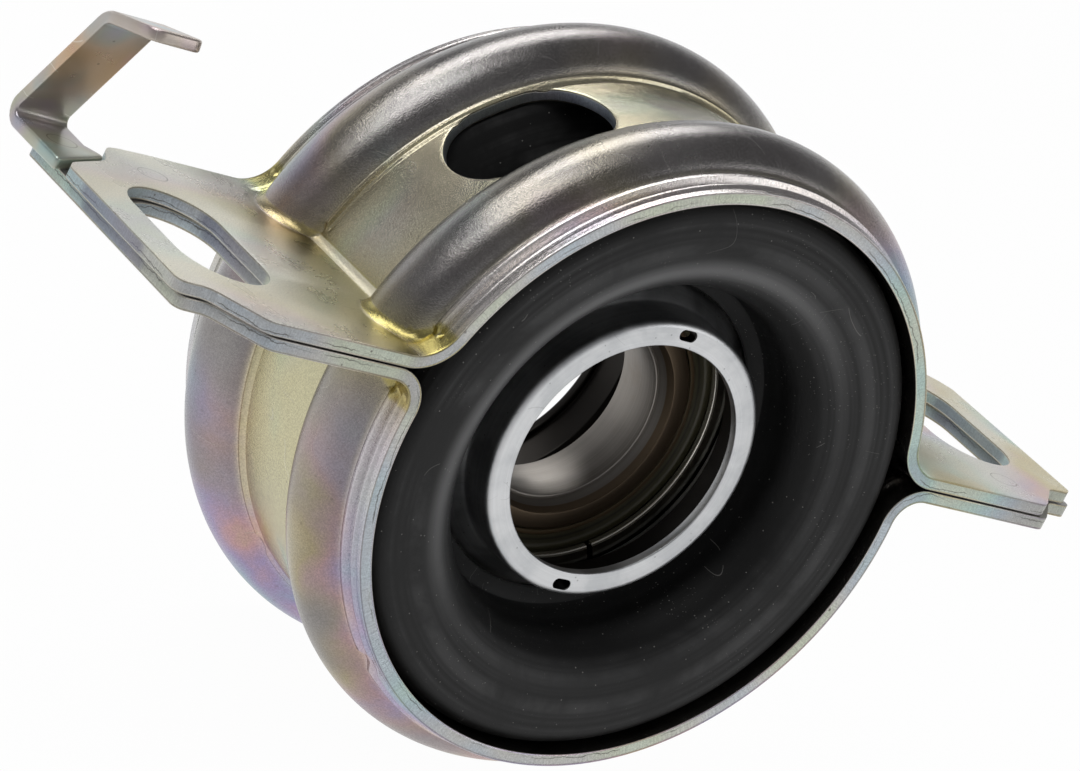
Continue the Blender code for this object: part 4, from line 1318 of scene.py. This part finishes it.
# %% Material: ground steel
def paint_ground(name, base, face, rough):
    """Ground steel with fine lines all round and a film of grease on its end faces."""
    material, tree, shader = new_material(name)
    where = object_vector(tree)
    lines_at, radius, front = around(tree, where)
    rings = noise(tree, lines_at, 3800.0, 2, 0.6)
    wide = noise(tree, lines_at, 420.0, 2, 0.6)
    spots = use(tree, grain, Vector=where, Scale=120.0)
    colour = blend(tree, 1.0, base, ramp(tree, rings, 0.3, 0.7, 0.90, 1.05), "MULTIPLY")
    colour = blend(tree, 1.0, colour, ramp(tree, wide, 0.35, 0.65, 0.85, 1.05), "MULTIPLY")
    end = ramp(tree, calc(tree, "ABSOLUTE", front), 0.0051, 0.0053)
    colour = tint(tree, colour, end, 0.85, face)
    stain = ramp(tree, spots["Cloud"], 0.55, 0.75)
    colour = tint(tree, colour, stain, 0.25, rgb(120, 100, 78))
    tree.links.new(colour, shader.inputs["Base Color"])
    shine = ramp(tree, wide, 0.3, 0.7, rough, rough + 0.10)
    tree.links.new(shine, shader.inputs["Roughness"])
    shader.inputs["Metallic"].default_value = 1.0
    tree.links.new(bump(tree, rings, 0.25, 0.00003), shader.inputs["Normal"])
    return material


race_finish = paint_ground("ground_steel_race", rgb(150, 145, 139), rgb(110, 92, 70), 0.38)
outer_finish = paint_ground("ground_steel_outer", rgb(190, 188, 180), rgb(150, 146, 132), 0.20)
ball_finish = paint_ground("polished_balls", rgb(214, 214, 214), rgb(200, 200, 200), 0.06)
cage_finish = paint_ground("pressed_cage", rgb(176, 170, 156), rgb(150, 140, 120), 0.26)
dress(inner_ring, race_finish)
for name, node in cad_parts.items():
    if name == "outer_ring":
        dress(node, outer_finish)
    if name.startswith("ball_"):
        dress(node, ball_finish)
    if name.startswith("rivet_") or name.endswith("cage_half"):
        dress(node, cage_finish)

# %% Material: seal
seal_finish, tree, shader = new_material("olive_seal")
where = object_vector(tree)
lines_at, radius, front = around(tree, where)
rings = noise(tree, lines_at, 1500.0, 2, 0.6)
fine = use(tree, grain, Vector=where, Scale=260.0)
colour = blend(tree, ramp(tree, rings, 0.35, 0.65), rgb(44, 42, 30), rgb(86, 82, 60))
grease = between(tree, radius, 0.0199, 0.0206, 0.0002)
colour = tint(tree, colour, grease, 0.7, rgb(96, 74, 50))
tree.links.new(colour, shader.inputs["Base Color"])
tree.links.new(ramp(tree, fine["Fine"], 0.3, 0.7, 0.30, 0.48), shader.inputs["Roughness"])
tree.links.new(bump(tree, rings, 0.4, 0.00006), shader.inputs["Normal"])
for piece in (front_lip, rear_lip):
    dress(piece, seal_finish)
print("materials:", len(bpy.data.materials))

# %% [markdown]
# ## Stage and light
#
# The photograph was taken on white, with large soft lights. Metal shows its shape only by what it
# mirrors, so the lights stand apart with greyer room between them. The floor and the room look white
# to the camera only, and keep their shadow and their plain level for everything else.

# %% Floor and world
bpy.ops.object.select_all(action="DESELECT")
bpy.ops.mesh.primitive_plane_add(size=8, location=(0, 0, -0.0656))
floor = bpy.context.object
floor.name = floor.data.name = "studio_floor"
floor_finish, tree, shader = new_material("white_floor")
shader.inputs["Base Color"].default_value = (0.80, 0.80, 0.80, 1)
shader.inputs["Roughness"].default_value = 0.9
path = add(tree, "ShaderNodeLightPath").outputs
glow = add(tree, "ShaderNodeEmission", {"Color": (1, 1, 1, 1), "Strength": 1.0})
seen = times(tree, path["Is Camera Ray"], 0.975)
floor_x = split(tree, object_vector(tree))[0]
floor_y = floor_x.node.outputs[1]
lit = ramp(tree, floor_x, -0.28, -0.08, 0.30, 0.85)
front_left = times(tree, ramp(tree, floor_x, 0.02, -0.10), ramp(tree, floor_y, 0.03, -0.09))
lit = times(tree, lit, calc(tree, "SUBTRACT", 1.0, times(tree, front_left, 0.86)))
mirrored = times(tree, path["Is Glossy Ray"], lit)
seen = larger(tree, seen, mirrored)
mix = add(tree, "ShaderNodeMixShader", {0: seen, 1: shader.outputs[0], 2: glow.outputs[0]})
tree.links.new(mix.outputs[0], tree.nodes["Material Output"].inputs["Surface"])
dress(floor, floor_finish)

world = bpy.data.worlds.new("white_room")
bpy.context.scene.world = world
world.use_nodes = True
tree = world.node_tree
direction = add(tree, "ShaderNodeTexCoord").outputs["Generated"]
way = split(tree, direction)
horizon = between(tree, way[2], -0.5, 0.34, 0.14)
behind = ramp(tree, way[1], -0.55, 0.45, 0.30, 1.0)
left = ramp(tree, way[0], -0.35, -0.75, 1.0, 0.25)
wall = times(tree, times(tree, horizon, behind), left)
room = blend(tree, wall, (0.17, 0.17, 0.175, 1), (0.97, 0.98, 0.99, 1))
path = add(tree, "ShaderNodeLightPath").outputs
shown = blend(tree, path["Is Camera Ray"], room, (1, 1, 1, 1))
tree.links.new(shown, tree.nodes["Background"].inputs["Color"])
tree.nodes["Background"].inputs["Strength"].default_value = 1.0

# %% Lights
def softbox(name, place, aim, size, power):
    """A soft rectangular light."""
    data = bpy.data.lights.new(name, "AREA")
    data.shape = "RECTANGLE"
    data.size, data.size_y = size
    data.energy = power
    lamp = bpy.data.objects.new(name, data)
    bpy.context.scene.collection.objects.link(lamp)
    lamp.location = place
    lamp.rotation_mode = "QUATERNION"
    lamp.rotation_quaternion = (Vector(aim) - Vector(place)).to_track_quat("-Z", "Y")
    return lamp


softbox("back_softbox", (-0.15, 0.60, 0.95), (0, 0, 0), (1.5, 0.26), 7)
softbox("left_softbox", (-0.7, -0.1, 1.0), (0, 0, 0), (0.5, 0.8), 4)
softbox("front_fill", (0.8, -0.9, 0.5), (0, 0, 0), (0.6, 0.6), 2)
bpy.context.scene.view_settings.view_transform = "Standard"
